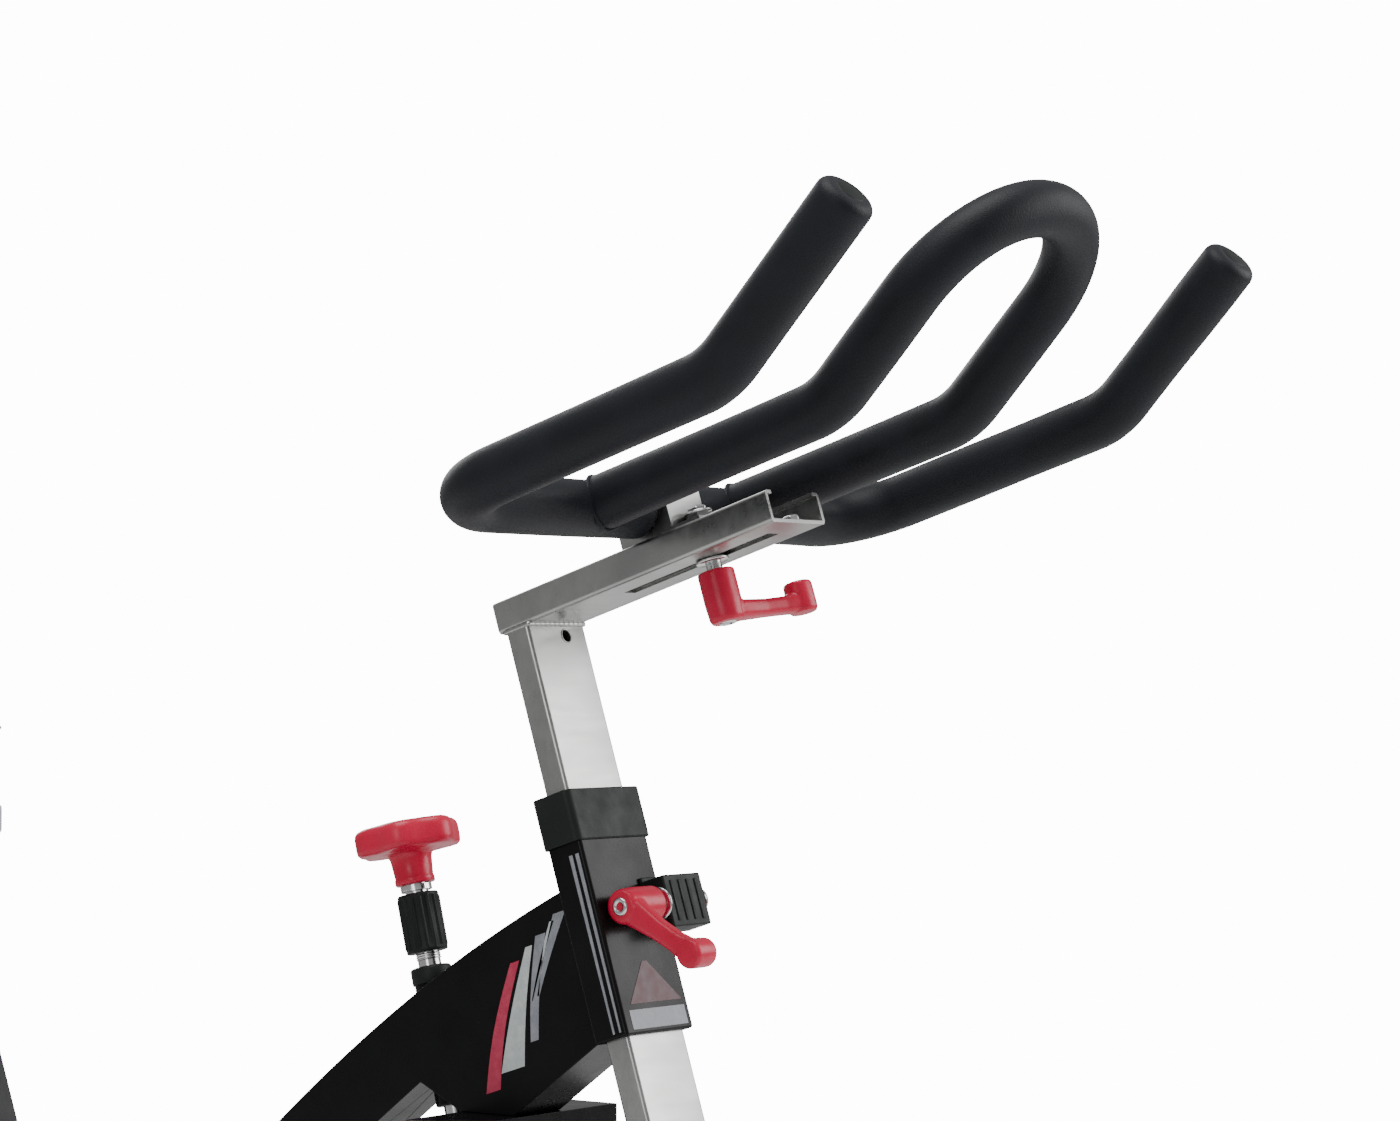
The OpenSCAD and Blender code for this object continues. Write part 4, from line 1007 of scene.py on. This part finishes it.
def saddle_seams(mesh, low):
    """Piping round the lower edge, two top seams and their stitches, laid on the finished skin."""
    tree = BVHTree.FromPolygons([v.co for v in mesh.vertices], [tuple(p.vertices) for p in mesh.polygons])

    def on_top(x, y):
        hit = tree.ray_cast(Vector((x, y, low + 0.2)), Vector((0, 0, -1)))
        return hit[0], hit[1]

    piping = []
    for x, y in saddle_outline(0.0015, 60):
        near = tree.find_nearest(Vector((x, y, low + 0.005)))
        piping.append(near[0] + near[1] * 0.0002)
    piping.append(piping[0])
    piece("saddle_piping", swept("saddle_piping", spaced(piping, 0.004), 0.0016, 10), "saddle", "saddle_skin",
          place=SADDLE)
    stitch = lathe("stitch", [(0.0002, -0.0017), (0.00045, -0.0013), (0.0005, 0.0), (0.00045, 0.0013),
                              (0.0002, 0.0017)], 8)
    for side, word in ((-1, "right"), (1, "left")):
        seam, stitches = [], []
        count = 62
        for i in range(count + 1):
            s = 0.10 + 0.82 * i / count
            x = NOSE_X - s * SADDLE_LEN
            y = side * max(0.012, saddle_half(s) * 0.60)
            spot, normal = on_top(x, y)
            if spot is None:
                continue
            seam.append(spot + normal * 0.0001)
            stitches.append(spot + Vector((0, side * 0.0024, 0)) + normal * 0.0003)
        piece(f"saddle_seam_{word}", swept(f"saddle_seam_{word}", seam, 0.0008, 8), "saddle", "saddle_skin",
              place=SADDLE)
        placed = []
        for a, b in zip(stitches, stitches[1:]):
            spot, normal = on_top((a.x + b.x) / 2, (a.y + b.y) / 2)
            if spot is None:
                continue
            run = (b - a).normalized()
            placed.append((stitch, Matrix.Translation(spot + normal * 0.0002) @ facing(run)))
        piece(f"saddle_stitches_{word}", joined(f"saddle_stitches_{word}", placed), "saddle", material=THREAD,
              place=SADDLE)


# ---- drive details ----
def flywheel_details():
    """Turned face on each side of the rim, and bolts round the web."""
    low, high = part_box("flywheel")
    radius, half, count = (high.x - low.x) / 2, 0.015, 128
    for side, word in ((-1, "right"), (1, "left")):
        ring = []
        for r, y in ((radius - 0.030, 0.0), (radius - 0.029, 0.0006), (radius - 0.006, 0.0006),
                     (radius - 0.004, 0.0)):
            ring.append((r, side * (half + y)))
        rings = lathe_rings(ring, count)
        points = [p for one in rings for p in one]
        faces = band_faces(len(rings), count)
        inner = len(points)
        points += [Vector((p.x, p.y, side * (half - 0.0005))) for p in rings[0]]
        outer = len(points)
        points += [Vector((p.x, p.y, side * (half - 0.0005))) for p in rings[-1]]
        last = (len(rings) - 1) * count
        for j in range(count):
            k = (j + 1) % count
            faces += [(inner + j, inner + k, k, j), (last + j, last + k, outer + k, outer + j),
                      (outer + j, outer + k, inner + k, inner + j)]
        mesh = to_mesh(f"rim_face_{word}", points, faces)
        mesh.transform(Matrix.Translation(HUB) @ turn(-90, "X"))
        piece(f"rim_face_{word}", mesh, "flywheel", "flywheel_iron", material=TURNED)
        for i in range(6):
            a = math.radians(60 * i + 30)
            centre = HUB + Vector((0.046 * math.cos(a), side * 0.0082, 0.046 * math.sin(a)))
            hex_bolt(f"web_bolt_{word}_{i}", Matrix.Translation(centre) @ turn(90 if side < 0 else -90, "X"),
                     "flywheel", 0.0065, 0.0050)


def guard_details():
    """Raised ribs and screws on the outer belt guard."""
    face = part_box("guard_outer")[0].y
    for i, (centre, radii) in enumerate(((BRACKET, (0.060, 0.085)), (HUB, (0.022, 0.032)))):
        for k, r in enumerate(radii):
            name = f"guard_rib_{i}_{k}"
            ring = arc((centre.x, face - 0.0002, centre.z), (1, 0, 0), (0, 0, 1), r, 2 * math.pi, 96)
            piece(name, swept(name, ring, 0.0012, 8), "frame", "black_plastic")
    span = HUB - BRACKET
    for i, t in enumerate((0.30, 0.62)):
        for side, word in ((-1, "low"), (1, "high")):
            middle = BRACKET + span * t
            spot = Vector((middle.x, face, middle.z + side * (0.088 - 0.060 * t)))
            place = Matrix.Translation(spot) @ turn(90, "X")
            hex_bolt(f"guard_screw_{i}_{word}", place, "frame", 0.0045, 0.0025)


def pedal_details():
    """Grip studs on both faces of each pedal, and a reflector at each end."""
    for word in ("right", "left"):
        low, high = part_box(f"pedal_{word}")
        centre = (low + high) / 2
        body = f"pedal_{word}"
        studs = []
        stud = lathe("stud", [(0.0022, 0.0), (0.0022, 0.0014), (0.0016, 0.0020), (0.0006, 0.0022)], 12)
        for ix in (-1, 1):
            for iy in range(5):
                y = centre.y + (iy - 2) * 0.018
                x = centre.x + ix * (PEDAL_W / 2 - 0.0035)
                studs.append((stud, shift(x, y, high.z)))
                studs.append((stud, shift(x, y, low.z) @ turn(180, "X")))
        piece(f"pedal_studs_{word}", joined(f"pedal_studs_{word}", studs), body, "black_plastic")
        for ix in (-1, 1):
            x = centre.x + ix * (PEDAL_W / 2 + 0.0004)
            panel = box_mesh("reflector", (x - 0.0008, centre.y - 0.022, centre.z - 0.0055),
                             (x + 0.0008, centre.y + 0.022, centre.z + 0.0055), 0.0006)
            piece(f"pedal_reflector_{word}_{'front' if ix > 0 else 'rear'}", panel, body, material=STRIPE_RED,
                  smooth=False)


def foot_details():
    """Lock nuts on the levelling feet and bands round their pads."""
    for end in ("front", "rear"):
        for word in ("right", "left"):
            low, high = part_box(f"foot_{end}_{word}")
            x, y = (low.x + high.x) / 2, (low.y + high.y) / 2
            body = f"foot_{end[0]}{word[0]}"
            nut = lathe("foot_nut", [(0.0054, 0.0155), (0.0088, 0.0155), (0.0096, 0.0162), (0.0096, 0.0204),
                                     (0.0088, 0.0210), (0.0054, 0.0210)], 6)
            piece(f"foot_nut_{end}_{word}", nut, body, "bright_steel", smooth=False, place=shift(x, y, 0))
            band = arc((x, y, 0.0085), (1, 0, 0), (0, 1, 0), 0.0226, 2 * math.pi, 64)
            piece(f"foot_band_{end}_{word}", swept("foot_band", band, 0.0009, 8), body, "foot_rubber")


# ---- floor, lights and camera ----
def studio():
    floor = bpy.data.meshes.new("floor")
    size = 3
    corners = [(-size, -size, 0), (size, -size, 0), (size, size, 0), (-size, size, 0)]
    floor.from_pydata(corners, [], [(0, 1, 2, 3)])
    pale = Nodes("pale_floor")
    pale.fixed(Roughness=0.85, Specular_IOR_Level=0.1)
    pale.colour(pale.ramp(pale.noise(3), (0.88, 0.88, 0.88), (0.92, 0.92, 0.92)))
    floor.materials.append(pale.material)
    ground = bpy.data.objects.new("floor", floor)
    bpy.context.scene.collection.objects.link(ground)

    # the backdrop is pure white to the camera and a soft grey in what it lights
    world = bpy.data.worlds.new("studio")
    bpy.context.scene.world = world
    world.use_nodes = True
    tree = world.node_tree
    backdrop = tree.nodes["Background"]
    backdrop.inputs["Color"].default_value = (1, 1, 1, 1)
    seen = tree.nodes.new("ShaderNodeLightPath")
    level = tree.nodes.new("ShaderNodeMapRange")
    level.inputs["To Min"].default_value = 0.34
    level.inputs["To Max"].default_value = 14.0
    tree.links.new(seen.outputs["Is Camera Ray"], level.inputs["Value"])
    tree.links.new(level.outputs["Result"], backdrop.inputs["Strength"])

    def soft_light(name, place, aim, size, power):
        data = bpy.data.lights.new(name, "AREA")
        data.shape, data.size, data.energy = "DISK", size, power
        lamp = bpy.data.objects.new(name, data)
        lamp.location = place
        lamp.rotation_euler = (Vector(aim) - Vector(place)).to_track_quat("-Z", "Y").to_euler()
        bpy.context.scene.collection.objects.link(lamp)

    aim = (0.1, 0, 0.8)
    soft_light("key", (2.4, 1.9, 1.9), aim, 2.4, 72)
    soft_light("top", (0.3, -0.5, 3.4), aim, 2.2, 62)
    soft_light("fill", (0.9, -3.2, 1.7), aim, 1.4, 16)
    soft_light("rear", (-2.4, 1.4, 2.2), aim, 1.6, 30)


def camera():
    data = bpy.data.cameras.new("camera")
    data.sensor_width = 36
    data.lens = 100.3
    data.clip_start, data.clip_end = 0.05, 100
    cam = bpy.data.objects.new("camera", data)
    cam.location = (1.859, -2.071, 0.931)
    ahead = Vector((-0.5946, 0.8036, 0.0265))
    cam.rotation_euler = ahead.to_track_quat("-Z", "Y").to_euler()
    bpy.context.scene.collection.objects.link(cam)
    bpy.context.scene.camera = cam


camera()
studio()
finish_cad_nodes()
handlebar_foam()
clamp_levers()
brake_control()
stripes_and_painted_highlights()
welds()
clamp_details()
clamp_block_details()
slider_bolt()
saddle_pad()
flywheel_details()
guard_details()
pedal_details()
foot_details()
